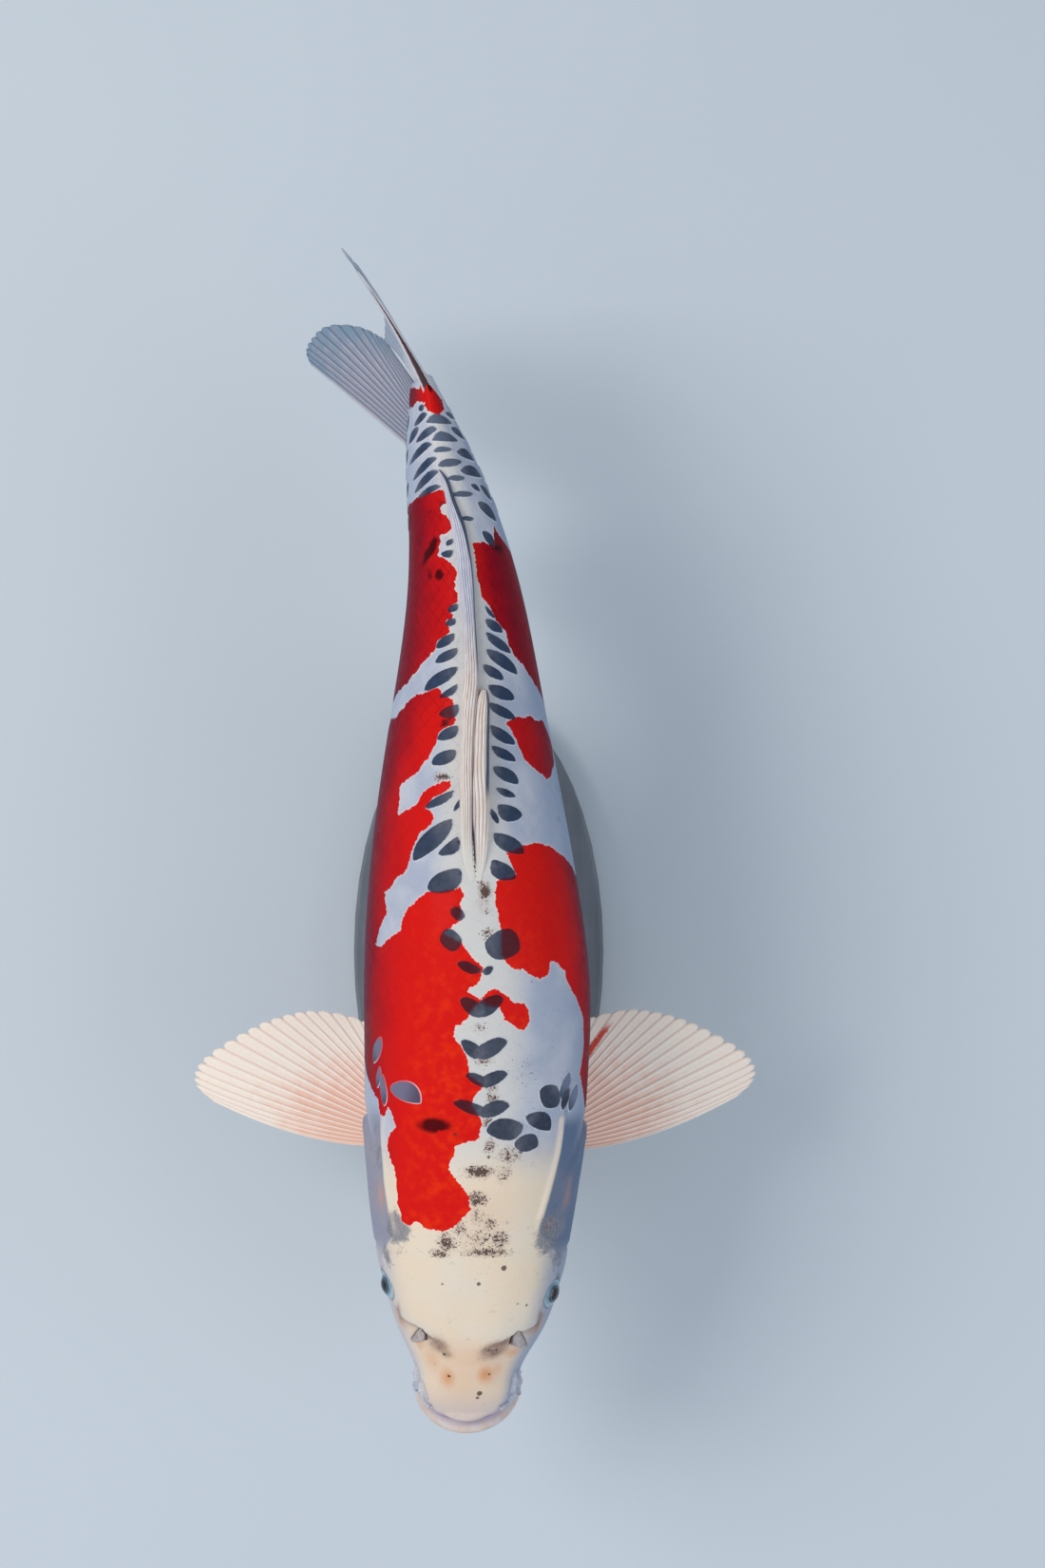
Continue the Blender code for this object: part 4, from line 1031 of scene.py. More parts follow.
def build_pleats(name, rows, pleats, depth):
    """One bundle of a folded fin: a soft ridge with pleats running along it."""
    samples = 130
    columns = 56
    places = [row[0] for row in rows]
    distance = np.linspace(places[0], places[-1], samples)[:, None]
    share = np.linspace(0, 1, columns)[None, :]
    right, left, rise = (smooth_line(places, [row[k] * MM for row in rows])(distance) for k in (1, 2, 3))
    lateral = right + (left - right) * share
    phase = share * pleats + 0.35 * np.sin(distance * 70) + 0.12 * np.sin(distance * 190 + 2)
    arch = (1 - np.abs(2 * share - 1) ** 4.5) ** 0.6
    fold = (np.abs(np.sin(math.pi * phase)) ** 0.7 - 0.5) * depth * np.clip(rise / 0.006, 0.1, 1.0)
    sunk = back_at(distance) - 0.004
    height = np.where((share == 0) | (share == 1), sunk, back_at(distance) + (rise + fold) * arch)
    points = body_place(distance, lateral, height)
    bottom = body_place(distance, (right + left) / 2, sunk - 0.002)
    ring = columns + 1
    along = (distance - places[0]) / (places[-1] - places[0])
    fields = [np.broadcast_to(field, lateral.shape) for field in (phase, along, share)]
    return ring_piece(name, np.concatenate((points, bottom), axis=1), tube_faces(samples, ring),
                      [np.concatenate((field, field[:, :1]), axis=1) for field in fields],
                      np.linspace(0.01, 0.99, ring), np.linspace(0.01, 0.99, samples))


# ---- head pieces ----------------------------------------------------------------------------
CORNEA_RISE = 0.0005
CORNEA_SIZE = 0.0042
EYEBALL_SHORT = 0.0002             # how much the eyeball's radius is under EYE_RADIUS


def build_eye(name, side):
    """An eyeball with a slightly bulging front; the iris and pupil are painted on it."""
    centre, axis = eye_frame(side)
    right = unit(np.cross(axis, (0.0, 0.0, 1.0)))
    up = np.cross(right, axis)
    rows = 60
    columns = 64
    polar = np.linspace(0, math.pi, rows + 2)[1:-1, None]
    around = np.linspace(0, 2 * math.pi, columns + 1)[None, :-1]
    bulge = CORNEA_RISE * hump(np.sin(polar) * EYE_RADIUS, CORNEA_SIZE) * (np.cos(polar) > 0)
    size = EYE_RADIUS + bulge - EYEBALL_SHORT
    points = centre + size[..., None] * (np.cos(polar)[..., None] * axis
                                         + (np.sin(polar) * np.cos(around))[..., None] * right
                                         + (np.sin(polar) * np.sin(around))[..., None] * up)
    front = centre + axis * (EYE_RADIUS + CORNEA_RISE - EYEBALL_SHORT)
    back = centre - axis * (EYE_RADIUS - EYEBALL_SHORT)
    faces = round_faces(rows, columns)
    body = make_mesh(name, np.concatenate((points.reshape(-1, 3), [front, back])), faces)
    polar, around = np.broadcast_arrays(polar, around)
    polar = np.append(polar, (0.0, math.pi))
    add_field(body, "eye", (polar * EYE_RADIUS / MM,))
    corners = [k for face in faces for k in face]
    reach = 0.49 * polar[corners] / math.pi
    spin = np.append(around, (0.0, 0.0))[corners]
    spin[-3 * columns + 2::3] = spin[-3 * columns::3]      # the back point is a ring on the map
    add_map(body, np.stack((0.5 + reach * np.cos(spin), 0.5 + reach * np.sin(spin)), -1))
    return body


def build_tube(name, route, radii):
    """A closed tapering tube along a route."""
    columns = 14
    rows = len(route)
    ahead = unit(np.gradient(route, axis=0))
    side = unit(np.cross(ahead, (0.3, 0.2, 1.0)))
    up = np.cross(side, ahead)
    angle = np.linspace(0, 2 * math.pi, columns + 1)[None, :-1, None]
    rings = route[:, None, :] + radii[:, None, None] * (
        np.cos(angle) * side[:, None, :] + np.sin(angle) * up[:, None, :])
    along = np.linspace(0.02, 0.98, rows)
    return ring_piece(name, rings, tube_faces(rows, columns),
                      (np.zeros(rows * columns), np.repeat(along, columns)),
                      np.linspace(0.02, 0.98, columns), along)


def build_barbels():
    """A short pair above the upper lip and a longer pair folded back at the mouth corners."""
    pieces = []
    t = np.linspace(0, 1, 28)
    blunt = np.sqrt(np.clip((1.02 - t) / 0.10, 0.05, 1.0))
    arch = 0.0006 * np.sin(math.pi * t)
    for side, word in ((1, "left"), (-1, "right")):
        corner = body_place(0.0180 + 0.0125 * t, side * (0.0262 + 0.0010 * t + arch), -0.0268 - 0.0052 * t)
        front = body_place(0.0110 + 0.0075 * t, side * (0.0196 + 0.0072 * t + arch), -0.0150 - 0.0095 * t)
        lumps = 1 + 0.20 * np.sin(t * 13.0 + side)
        pieces.append(build_tube("barbel_skin_corner_" + word, corner, (0.0034 - 0.0008 * t) * blunt * lumps))
        pieces.append(build_tube("barbel_skin_front_" + word, front, (0.0013 - 0.0006 * t) * blunt))
    return pieces


def build_nostril_flap(name, tip, inner, outer):
    """A thin arched three-cornered flap over a nostril, its tip towards the tail."""
    rows = 16
    columns = 17
    v = np.linspace(0, 1, rows)[:, None]
    u = np.linspace(0, 1, columns)[None, :]
    reach = 1 - 0.86 * v
    along, bearing = (((inner[k] * (1 - u) + outer[k] * u) - (inner[k] + outer[k]) / 2) * reach
                      + (inner[k] + outer[k]) / 2 * (1 - v) + tip[k] * v for k in (0, 1))
    arch = 1 - (2 * u - 1) ** 2
    lift = 0.15 + 1.2 * arch * (1 - 0.5 * v) + 0.5 * arch ** 0.5 * smooth_step(1 - v, 0.6, 1.0)
    outer_face = skin_place(along * MM, bearing, lift * MM)
    inner_face = outer_face - plain_normal(along * MM, bearing) * FLAP_THICKNESS
    edge = there_and_back(np.broadcast_to(np.abs(2 * u - 1), along.shape))
    return ring_piece(name, there_and_back(outer_face, inner_face), sheet_faces(rows, columns),
                      (np.ones(edge.shape), edge),
                      np.append(np.linspace(0.02, 0.48, columns), np.linspace(0.52, 0.98, columns)),
                      np.linspace(0.02, 0.98, rows))


# ---- materials ------------------------------------------------------------------------------
class Value:
    """A number or a colour in a node tree; plain arithmetic on it adds maths nodes."""

    def __init__(self, paint, socket):
        self.paint = paint
        self.socket = socket

    def __add__(self, other):
        return self.paint.math("ADD", self, other)

    def __sub__(self, other):
        return self.paint.math("SUBTRACT", self, other)

    def __rsub__(self, other):
        return self.paint.math("SUBTRACT", other, self)

    def __mul__(self, other):
        return self.paint.math("MULTIPLY", self, other)

    def __abs__(self):
        return self.paint.math("ABSOLUTE", self)

    def shaken(self, noise, amount):
        """This value, moved up and down by a noise over a range of that amount."""
        return (noise - 0.5) * amount + self

    def ramp(self, low, high, start=0.0, end=1.0):
        """A smooth step from start to end, as this value goes from low to high."""
        step = self.paint.node("ShaderNodeMapRange", {"Value": self, "From Min": low, "From Max": high,
                                                      "To Min": start, "To Max": end},
                               interpolation_type="SMOOTHSTEP")
        return Value(self.paint, step.outputs[0])


class Paint:
    """Builds the node tree of one material with short calls."""

    def __init__(self, name, subsurface=0.0, coat=0.0, metallic=0.0, gloss=0.10, coat_roughness=0.16):
        self.material = bpy.data.materials.new(name)
        self.material.use_nodes = True
        self.tree = self.material.node_tree
        self.shader = self.tree.nodes["Principled BSDF"]
        for setting, value in (("Metallic", metallic), ("Subsurface Weight", subsurface),
                               ("Subsurface Radius", (0.0040, 0.0018, 0.0012)), ("Subsurface Scale", 1.0),
                               ("Coat Weight", coat), ("Coat Roughness", coat_roughness),
                               ("Specular IOR Level", gloss)):
            self.shader.inputs[setting].default_value = value
        self.place = Value(self, self.node("ShaderNodeTexCoord", {}).outputs["Object"])

    def node(self, kind, inputs, **settings):
        """Adds a node with these settings, and feeds its inputs, given by name or number."""
        step = self.tree.nodes.new(kind)
        for name, value in settings.items():
            setattr(step, name, value)
        for name, value in inputs.items():
            self.feed(step.inputs[name], value)
        return step

    def feed(self, socket, value):
        if isinstance(value, Value):
            self.tree.links.new(value.socket, socket)
        elif isinstance(value, tuple):
            socket.default_value = (*value, 1.0)[:len(socket.default_value)]
        else:
            socket.default_value = value

    def fields(self, name):
        """The three numbers of a field stored at the points of the mesh."""
        source = self.node("ShaderNodeAttribute", {}, attribute_name=name)
        parts = self.node("ShaderNodeSeparateXYZ", {0: Value(self, source.outputs["Vector"])})
        return [Value(self, part) for part in parts.outputs]

    def noise(self, size, detail=2.0, stretch=None):
        """Noise between 0 and 1 whose features are about size millimetres."""
        place = self.place
        if stretch:
            mapping = self.node("ShaderNodeMapping", {"Vector": place, "Scale": stretch})
            place = Value(self, mapping.outputs[0])
        pattern = self.node("ShaderNodeTexNoise",
                            {"Vector": place, "Scale": 1.0 / (size * MM), "Detail": detail})
        return Value(self, pattern.outputs["Fac"])

    def math(self, operation, a, b=0.0):
        return Value(self, self.node("ShaderNodeMath", {0: a, 1: b}, operation=operation).outputs[0])

    def mix(self, share, a, b, label=""):
        step = self.node("ShaderNodeMix", {}, data_type="RGBA", label=label)
        for number, value in ((0, share), (6, a), (7, b)):
            self.feed(step.inputs[number], value)
        return Value(self, step.outputs[2])

    def layers(self, colour, **layers):
        """Lays named layers over a colour, one after the other, each given by its share and its colour."""
        for name, (share, hue) in layers.items():
            colour = self.mix(share, colour, hue, name)
        return colour

    def bump(self, *layers):
        """Heights in mm, one after the other, on the shader's normal."""
        below = {}
        for height, depth in layers:
            step = self.node("ShaderNodeBump",
                             {"Height": height, "Strength": 1.0, "Distance": depth * MM, **below})
            below = {"Normal": Value(self, step.outputs[0])}
        self.feed(self.shader.inputs["Normal"], below["Normal"])

    def finish(self, colour, roughness):
        self.feed(self.shader.inputs["Base Color"], colour)
        self.feed(self.shader.inputs["Roughness"], roughness)
        return self.material


COOL_WHITE = (0.41, 0.45, 0.56)
PALE_WHITE = (0.54, 0.56, 0.63)
WARM_WHITE = (0.69, 0.66, 0.61)
IVORY = (0.83, 0.68, 0.52)
# the patches' red where lit, then the same red in painted shade: deep crimson and purple down the flanks
BRIGHT_RED = (0.69, 0.011, 0.009)
SHADED_RED = (0.20, 0.003, 0.014)
SHADED_PURPLE_RED = (0.085, 0.010, 0.045)
BLACK_RED = (0.035, 0.004, 0.006)
SLATE = (0.030, 0.046, 0.085)
DARK_SLATE = (0.016, 0.024, 0.044)
SPECK = (0.075, 0.042, 0.036)
NET_SPACING = 0.0086               # of the covered scales along the body
NET_LINES = 5.2                    # lines of their net in one radian of turn


def skin_colour(paint):
    """Ivory head, cool white body, red patches, smudges, dots, speckles and soft tints, with painted light on
    the top and painted shade down the sides and in grooves.
    """
    red, dark, dots = paint.fields("marks")
    grey, brown, orange = paint.fields("tints")
    ivory, speckle, cover = paint.fields("zones")
    ridge, top, along = paint.fields("forms")
    step, ledge, side = paint.fields("steps")
    clouds = paint.noise(26.0, 3.0)
    coarse = paint.noise(5.5, 3.0)
    lobes = paint.noise(1.7)
    fine = paint.noise(0.9)
    upper = top.ramp(-0.35, 0.12)

    # crossing lines over the rear body, where scales lie under the skin
    bearing = paint.math("ARCTAN2", side, top) * NET_LINES
    place = along * (BODY_END / NET_SPACING)
    lines = [abs(paint.math("SINE", way * math.pi)).ramp(0.30, 0.02)
             for way in (bearing + place, bearing - place)]
    net = paint.math("MAXIMUM", *lines) * along.ramp(0.30, 0.42) * coarse.ramp(0.36, 0.58)

    # painted light and shade on the white: warmer and lighter on the top of the back, bluer and darker down
    # the flanks
    white = paint.layers(
        paint.mix(clouds.ramp(0.35, 0.70), COOL_WHITE, PALE_WHITE),
        back=(top.ramp(0.90, 0.99) * 0.75, WARM_WHITE),
        # painted shade down the flanks
        flank=(top.ramp(0.75, 0.15) * 0.60, (0.34, 0.42, 0.56)),
        belly=(top.ramp(0.02, -0.45) * 0.70, (0.56, 0.57, 0.61)))
    head = paint.layers(
        paint.mix(clouds.ramp(0.30, 0.75), IVORY, (0.80, 0.70, 0.58)),
        snout=(along.ramp(0.105, 0.070) * top.ramp(0.55, 0.80) * 0.60, (0.80, 0.60, 0.45)),
        lip=(along.ramp(0.046, 0.012, 0.0, 0.62), (0.60, 0.53, 0.55)),
        # greyer down the sides of the head: the cheeks' own lavender-grey with painted shade
        cheek=(top.ramp(0.80, 0.35) * 0.80, (0.50, 0.50, 0.55)))
    # the gill covers' lavender-grey, darker and bluer on the fish's left side: painted shade
    gill = paint.layers(
        paint.mix(side.ramp(-0.5, 0.5), (0.27, 0.28, 0.37), (0.11, 0.16, 0.26)),
        clouds=(clouds.ramp(0.40, 0.75) * 0.45, (0.34, 0.30, 0.34)))
    gill = paint.mix(upper, (0.40, 0.41, 0.46), gill)

    # painted shade of the red: darker down the flanks, towards the tail and on the fish's left rear, shifted
    # by cloudy noise
    depth = top.shaken(clouds, 0.35) - along.ramp(0.45, 0.85, 0.0, 0.30)
    depth -= side.ramp(0.20, 0.50) * along.ramp(0.66, 0.78, 0.0, 0.16)
    # painted highlight: brighter orange-red on the top of the back, towards the head, broken up by noise
    bright = coarse.ramp(0.40, 0.75) * along.ramp(0.62, 0.30)
    scarlet = paint.layers(
        paint.mix(depth.ramp(0.20, 0.85), SHADED_RED, BRIGHT_RED),
        # painted shade: purple towards the flanks
        purple=(top.ramp(0.42, 0.06) * (upper * 0.50 + 0.25), SHADED_PURPLE_RED),
        # painted highlight on the top of the red
        bright=(bright * top.ramp(0.70, 0.96, 0.0, 0.55), (0.92, 0.045, 0.006)),
        net=(net * along.ramp(0.55, 0.80, 0.08, 0.42), (0.10, 0.003, 0.006)))
    edge = red.shaken(coarse, 3.4).shaken(lobes, 2.2) + (clouds - 0.5) * top.ramp(0.42, -0.15, 0.0, 34.0)
    patch = edge.ramp(-0.16, 0.16)

    freckle_from = 0.75 - speckle * 0.35
    grains = paint.noise(2.6, 1.0) * 0.35 + fine * 0.72
    freckles = grains.ramp(freckle_from, freckle_from + 0.06) * speckle.ramp(0.02, 0.15)
    mottled = grey.shaken(coarse, 1.1).shaken(lobes, 0.5)
    colour = paint.layers(
        paint.mix(ivory, white, head),
        # painted shade: darker blue-grey down the fish's left flank
        left_flank=(side.ramp(0.62, 0.95) * (upper * 0.45 + 0.20), (0.21, 0.28, 0.41)),
        net=(net * along.ramp(0.50, 0.75, 0.08, 0.25), (0.30, 0.34, 0.46)),
        gill_cover=(cover * (upper * 0.30 + 0.65), gill),
        orange_tint=(orange * 0.55, (0.70, 0.32, 0.14)),
        forehead_ledge=(ledge * 0.55, (0.62, 0.61, 0.60)),
        # brown: partly painted shade by the nostrils and at the foot of the forehead's step
        brown_tint=(brown.shaken(lobes, 0.5).ramp(-0.05, 1.15) * 0.90,
                    paint.mix(coarse.ramp(0.35, 0.65), (0.25, 0.15, 0.12), (0.40, 0.26, 0.20))),
        # painted shade in the groove at the foot of the forehead's step
        forehead_step=(step * 0.60, (0.17, 0.10, 0.095)),
        # grey tints, partly painted shade
        grey_tint=(mottled.ramp(0.16, 0.62) * 0.85,
                   paint.mix(fine.ramp(0.30, 0.70), (0.15, 0.15, 0.18), (0.27, 0.28, 0.32))),
        gill_ridge=(ridge * 0.80, (0.88, 0.74, 0.60)),
        speckle_haze=((speckle * lobes).ramp(0.10, 0.46) * 0.66, (0.42, 0.31, 0.27)),
        freckles=(freckles * 0.90, SPECK),
        patch_halo=(edge.ramp(-1.5, -0.1) * 0.35 * top.ramp(0.3, 0.7), (0.88, 0.66, 0.60)),
        patch=(patch, scarlet),
        smudge=(dark.shaken(coarse, 0.9).ramp(0.34, 0.84) * patch * 0.92, BLACK_RED),
        dot=(dots.shaken(fine, 0.8).ramp(-0.35, 0.30) * 0.85, (0.050, 0.030, 0.026)))
    return colour, coarse, fine, lobes, net


def skin_paint():
    paint = Paint("koi_skin_paint", subsurface=0.02, coat=0.03, gloss=0.01)
    colour, coarse, fine, _, net = skin_colour(paint)
    crease, lips, pit = paint.fields("mouth")
    rim, socket, lid = paint.fields("eyes")
    pale, fold_foot_shade, _ = paint.fields("corners")
    colour = paint.layers(
        colour,
        lips=(lips * 0.80, paint.mix(coarse.ramp(0.35, 0.7), (0.66, 0.50, 0.42), (0.68, 0.62, 0.60))),
        # darker lavender along the crease above the lip and in the gape, deepest at their bottom: the skin's
        # own lavender with painted shade in the furrows
        crease=(crease.ramp(0.10, 0.75, 0.0, 0.72), (0.46, 0.40, 0.48)),
        crease_bottom=(crease.ramp(0.72, 1.0, 0.0, 0.65), (0.24, 0.19, 0.29)),
        # pale flesh of the folds at the mouth corners, with painted highlights and shade from the fine noise
        corner_fold=(pale * 0.50, paint.mix(fine.ramp(0.40, 0.60), (0.38, 0.42, 0.54), (0.70, 0.72, 0.78))),
        # painted shade round the foot of the corner folds
        corner_dent=(fold_foot_shade * 0.38, (0.22, 0.20, 0.27)),
        eye_rim=(rim * 0.90, (0.34, 0.50, 0.58)),
        lid_line=(lid * 0.75, (0.07, 0.08, 0.11)),
        # painted shade: near black in the sunk socket round the eyeball
        eye_socket=(socket, (0.05, 0.06, 0.07)),
        # painted shade: dark in the sunk furrows along the nostril flaps
        nostril=(pit.ramp(0.30, 0.90) * 0.80, (0.09, 0.06, 0.065)))
    paint.bump((fine, 0.05), (coarse, 0.10), (net, -0.06), (paint.noise(0.45, 1.0), 0.02))
    return paint.finish(colour, coarse.ramp(0.25, 0.75, 0.36, 0.46))


def scale_paint(name, pale):
    """Slate plates with a pale rim that a painted highlight brightens at its far end, in the colours of the
    skin round them; pale is 0 or 1.
    """
    paint = Paint(name, coat=0.04, gloss=0.03)
    colour, coarse, fine, lobes, _ = skin_colour(paint)
    inside, tone, far_end = paint.fields("plate")
    red = paint.fields("marks")[0]
    _, top, along = paint.fields("forms")
    light = far_end.ramp(0.55, 0.02) * coarse.ramp(0.25, 0.60)
    slate = paint.layers(
        paint.mix(paint.noise(3.2, 3.0).ramp(0.32, 0.70), SLATE, DARK_SLATE),
        tone=(tone * 0.35, (0.075, 0.090, 0.125)),
        rear=(along.ramp(0.42, 0.66, 0.0, 0.48), (0.002, 0.030, 0.092)),
        # painted sheen: lighter slate on the upward-facing scales near the tail
        worn=(top.ramp(0.86, 0.98) * along.ramp(0.83, 0.90, 0.0, 0.75), (0.105, 0.135, 0.205)),
        light_end=(light * 0.55, (0.17, 0.17, 0.21)),
        pale=(far_end.ramp(0.95, 0.40, 0.25 * pale, 0.90 * pale), (0.17, 0.20, 0.31)),
        crimson=(red.ramp(-0.6, 1.8) * (0.80 - 0.70 * pale), (0.070, 0.006, 0.008)))
    rim = abs(inside + 0.42).ramp(0.55, 0.10) * red.ramp(0.6, -0.6, pale, 1.0)
    colour = paint.layers(
        colour,
        # the pale rim, brighter towards the plate's far end: a painted highlight over the rim's own pale
        # colour
        rim=(rim * far_end.ramp(0.30, 0.95, 0.25, 0.85), (0.60, 0.62, 0.70)),
        middle=(inside.shaken(lobes, 0.7).ramp(-0.22, 0.28) * 0.96, slate))
    paint.bump((fine, 0.04), (paint.math("SINE", inside * 9.0), 0.015), (coarse, 0.08))
    return paint.finish(colour, coarse.ramp(0.25, 0.75, 0.28, 0.42))


def web_paint(name, centre, tip, crest, shadow, tip_from=0.35, wedge=None, streak=None, lines=0.55):
    """Fin web: a tint that pales towards the edge, bright ray crests and painted shade in the furrows."""
    paint = Paint(name, subsurface=0.12, coat=0.05)
    ray, out, share = paint.fields("fan")
    blotch = paint.noise(7.0, 3.0)
    fine = paint.noise(1.3)
    drift = out.shaken(blotch, 0.5)
    phase = paint.math("FRACT", ray)
    ridge = phase.ramp(0.48, 0.60) * phase.ramp(0.76, 0.68)
    size = abs(share)
    colour = paint.layers(
        paint.mix(drift.ramp(tip_from, tip_from + 0.45), centre, tip),
        # painted shade in the furrows between the rays
        furrow=(phase.ramp(0.74, 0.92) * phase.ramp(1.0, 0.96) * lines, shadow),
        ridge=(ridge * drift.ramp(1.05, 0.55) * 0.85, crest),
        grain=(fine.ramp(0.45, 0.75) * 0.18, shadow),
        leading_edge=(size.ramp(0.040, 0.010) * 0.8, crest))
    for band, place in ((wedge, size), (streak, share)):
        if band:
            middle, half, start, end, hue = band
            beyond = abs(place - middle).shaken(fine, half * 0.5) - out.ramp(start, end, half, half * 0.25)
            mask = (beyond.ramp(half * 0.25, -half * 0.15) * out.ramp(end, end - 0.10)
                    * out.ramp(start - 0.02, start))
            colour = paint.mix(mask * 0.95, colour, hue, "band")
    joints = paint.math("SINE", out * 420.0)
    paint.bump((fine, 0.05), (joints, 0.012), (blotch, 0.08))
    return paint.finish(colour, blotch.ramp(0.3, 0.7, 0.36, 0.46))


def dorsal_paint(name, grey_from, shadow_line_from, shadow_line_width, furrow_side):
    """Cream pleats in front, lavender-grey behind, with a dark slate line of painted shadow along one edge.

    The grey and the line begin at a share of the length, the line's width is a share of the
    bundle's, in front and behind, and furrow_side is the place across it of the dark furrow.
    """
    paint = Paint(name, subsurface=0.08, coat=0.05)
    ray, out, share = paint.fields("fan")
    fine = paint.noise(1.2)
    long = paint.noise(2.0, 3.0, stretch=(1.0, 0.12, 1.0))
    centre = abs(paint.math("FRACT", ray) - 0.5)
    front = paint.mix(long.ramp(0.38, 0.62), (0.76, 0.62, 0.54), (0.80, 0.74, 0.68))
    rear = paint.mix(long.ramp(0.38, 0.62), (0.52, 0.53, 0.64), (0.62, 0.62, 0.70))
    seam = abs(share - furrow_side)
    shade = seam.ramp(0.30, 0.05) * out.ramp(0.02, 0.12) * out.ramp(0.50, 0.42)
    # painted shadow: a thin broken dark line in the gap where the two bundles meet, near the root
    thread = seam.ramp(0.11, 0.04) * out.ramp(0.0, 0.03) * out.ramp(0.34, 0.24)
    broken = paint.math("MAXIMUM", fine.ramp(0.50, 0.62), out.ramp(0.07, 0.12))
    # painted shadow: a dark slate line along the edge where the folded fin lies on the back
    edge = (share + out.ramp(0.72, 0.98, *shadow_line_width)).ramp(0.97, 1.03)
    colour = paint.layers(
        paint.mix(out.ramp(grey_from, grey_from + 0.28), front, rear),
        # painted shade in the low folds between the pleats
        furrow=(centre.ramp(0.30, 0.50) * 0.60, (0.34, 0.29, 0.33)),
        root=(out.ramp(0.22, 0.04), WARM_WHITE),
        shade=(shade * 0.50, (0.36, 0.30, 0.36)),
        thread=(thread * broken, (0.060, 0.045, 0.055)),
        # painted shadow line
        line=(edge * out.ramp(shadow_line_from - 0.06, shadow_line_from + 0.06) * 0.95, (0.036, 0.056, 0.115)),
        grain=(fine.ramp(0.50, 0.80) * 0.15, (0.40, 0.30, 0.30)))
    paint.bump((fine, 0.05), (long, 0.10))
    return paint.finish(colour, long.ramp(0.3, 0.7, 0.36, 0.46))


def eye_paint():
    """Black pupil, dark bluish iris, pale bluish edge."""
    paint = Paint("eye_paint", coat=1.0, coat_roughness=0.03)
    away = paint.fields("eye")[0]
    grain = paint.noise(0.8, 3.0)
    edge = away.shaken(grain, 0.35)
    iris = paint.mix(grain.ramp(0.35, 0.65), (0.025, 0.045, 0.075), (0.075, 0.115, 0.160))
    colour = paint.layers(
        paint.mix(edge.ramp(3.55, 3.80), (0.004, 0.004, 0.006), iris),
        edge=(edge.ramp(5.0, 5.9), (0.20, 0.32, 0.40)))
    paint.bump((grain, 0.01))
    return paint.finish(colour, away.ramp(3.6, 4.2, 0.06, 0.16))


def flesh_paint():
    """Barbels of pale bluish flesh, and lavender-grey nostril flaps with painted shade down their sides."""
    paint = Paint("flesh_paint", subsurface=0.06, coat=0.06)
    flap, edge, _ = paint.fields("fan")
    fine = paint.noise(0.8)
    blotch = paint.noise(3.0, 3.0)
    grey = paint.mix(blotch.ramp(0.35, 0.65), (0.36, 0.31, 0.31), (0.48, 0.42, 0.41))
    colour = paint.layers(
        paint.mix(blotch.ramp(0.35, 0.65), (0.42, 0.44, 0.55), (0.58, 0.56, 0.62)),
        flap=(flap, grey),
        # painted shade down the flaps' sides
        flap_sides=(flap * edge.ramp(0.74, 0.95) * 0.80, (0.055, 0.035, 0.040)))
    paint.bump((fine, 0.05), (blotch, 0.08))
    return paint.finish(colour, blotch.ramp(0.3, 0.7, 0.34, 0.46))


def base_paint():
    """Satin slate-grey paint with a faint grain and dust."""
    paint = Paint("stand_base_paint", coat=0.05)
    grain = paint.noise(6.0, 4.0, stretch=(1.0, 0.10, 1.0))
    dust = paint.noise(18.0, 3.0)
    colour = paint.layers(
        paint.mix(grain.ramp(0.3, 0.7), (0.145, 0.165, 0.195), (0.175, 0.195, 0.225)),
        dust=(dust.ramp(0.45, 0.8) * 0.25, (0.23, 0.25, 0.28)))
    paint.bump((grain, 0.04), (dust, 0.05))
    return paint.finish(colour, dust.ramp(0.3, 0.7, 0.40, 0.54))


def rod_paint():
    """Brushed steel, with fine marks running round the rods."""
    paint = Paint("stand_rod_paint", metallic=1.0)
    marks = paint.noise(1.0, 4.0, stretch=(0.25, 0.25, 2.5))
    paint.bump((marks, 0.01))
    return paint.finish(paint.mix(marks.ramp(0.3, 0.7), (0.52, 0.52, 0.53), (0.66, 0.66, 0.67)),
                        paint.noise(14.0).ramp(0.3, 0.7, 0.22, 0.36))


def floor_paint():
    paint = Paint("floor_paint")
    return paint.finish(paint.mix(paint.noise(400.0), (0.56, 0.62, 0.68), (0.60, 0.655, 0.71)), 0.75)


# ---- assembly -------------------------------------------------------------------------------
SIDES = ((1, "left"), (-1, "right"))
# rays, thickness at the root and the edge, height of the pleats, depth of the notches
PECTORAL = (21, (0.0052, 0.0007), 0.0009, 0.026)
PELVIC = (9, (0.0040, 0.0007), 0.0005, 0.035)
ANAL = (8, (0.0034, 0.0007), 0.0005, 0.035)
TAIL_UPPER = (12, (0.0042, 0.0008), 0.0005, 0.02)
TAIL_LOWER = (14, (0.0042, 0.0008), 0.0006, 0.02)
# colours of a web: near the root, at the edge, on its ray crests and the painted shade in its furrows
PEACH = ((0.93, 0.56, 0.43), (0.95, 0.82, 0.72), (1.0, 0.95, 0.88), (0.80, 0.53, 0.45))
BELLY = ((0.82, 0.66, 0.58), (0.74, 0.74, 0.76), (0.90, 0.84, 0.76), (0.50, 0.46, 0.50))
UPPER_TAIL = ((0.62, 0.60, 0.64), (0.30, 0.36, 0.46), (0.66, 0.66, 0.70), (0.34, 0.36, 0.44))
LOWER_TAIL = ((0.31, 0.32, 0.40), (0.18, 0.28, 0.38), (0.56, 0.55, 0.58), (0.13, 0.14, 0.20))
# a band along a fin: its place across the fan, half width, start, end and colour
RED_WEDGE = (0.81, 0.050, 0.0, 0.92, (0.62, 0.030, 0.008))
DARK_STREAK = (-EDGE_SHARE / 2, 0.0060, 0.0, 0.80, (0.045, 0.010, 0.013))


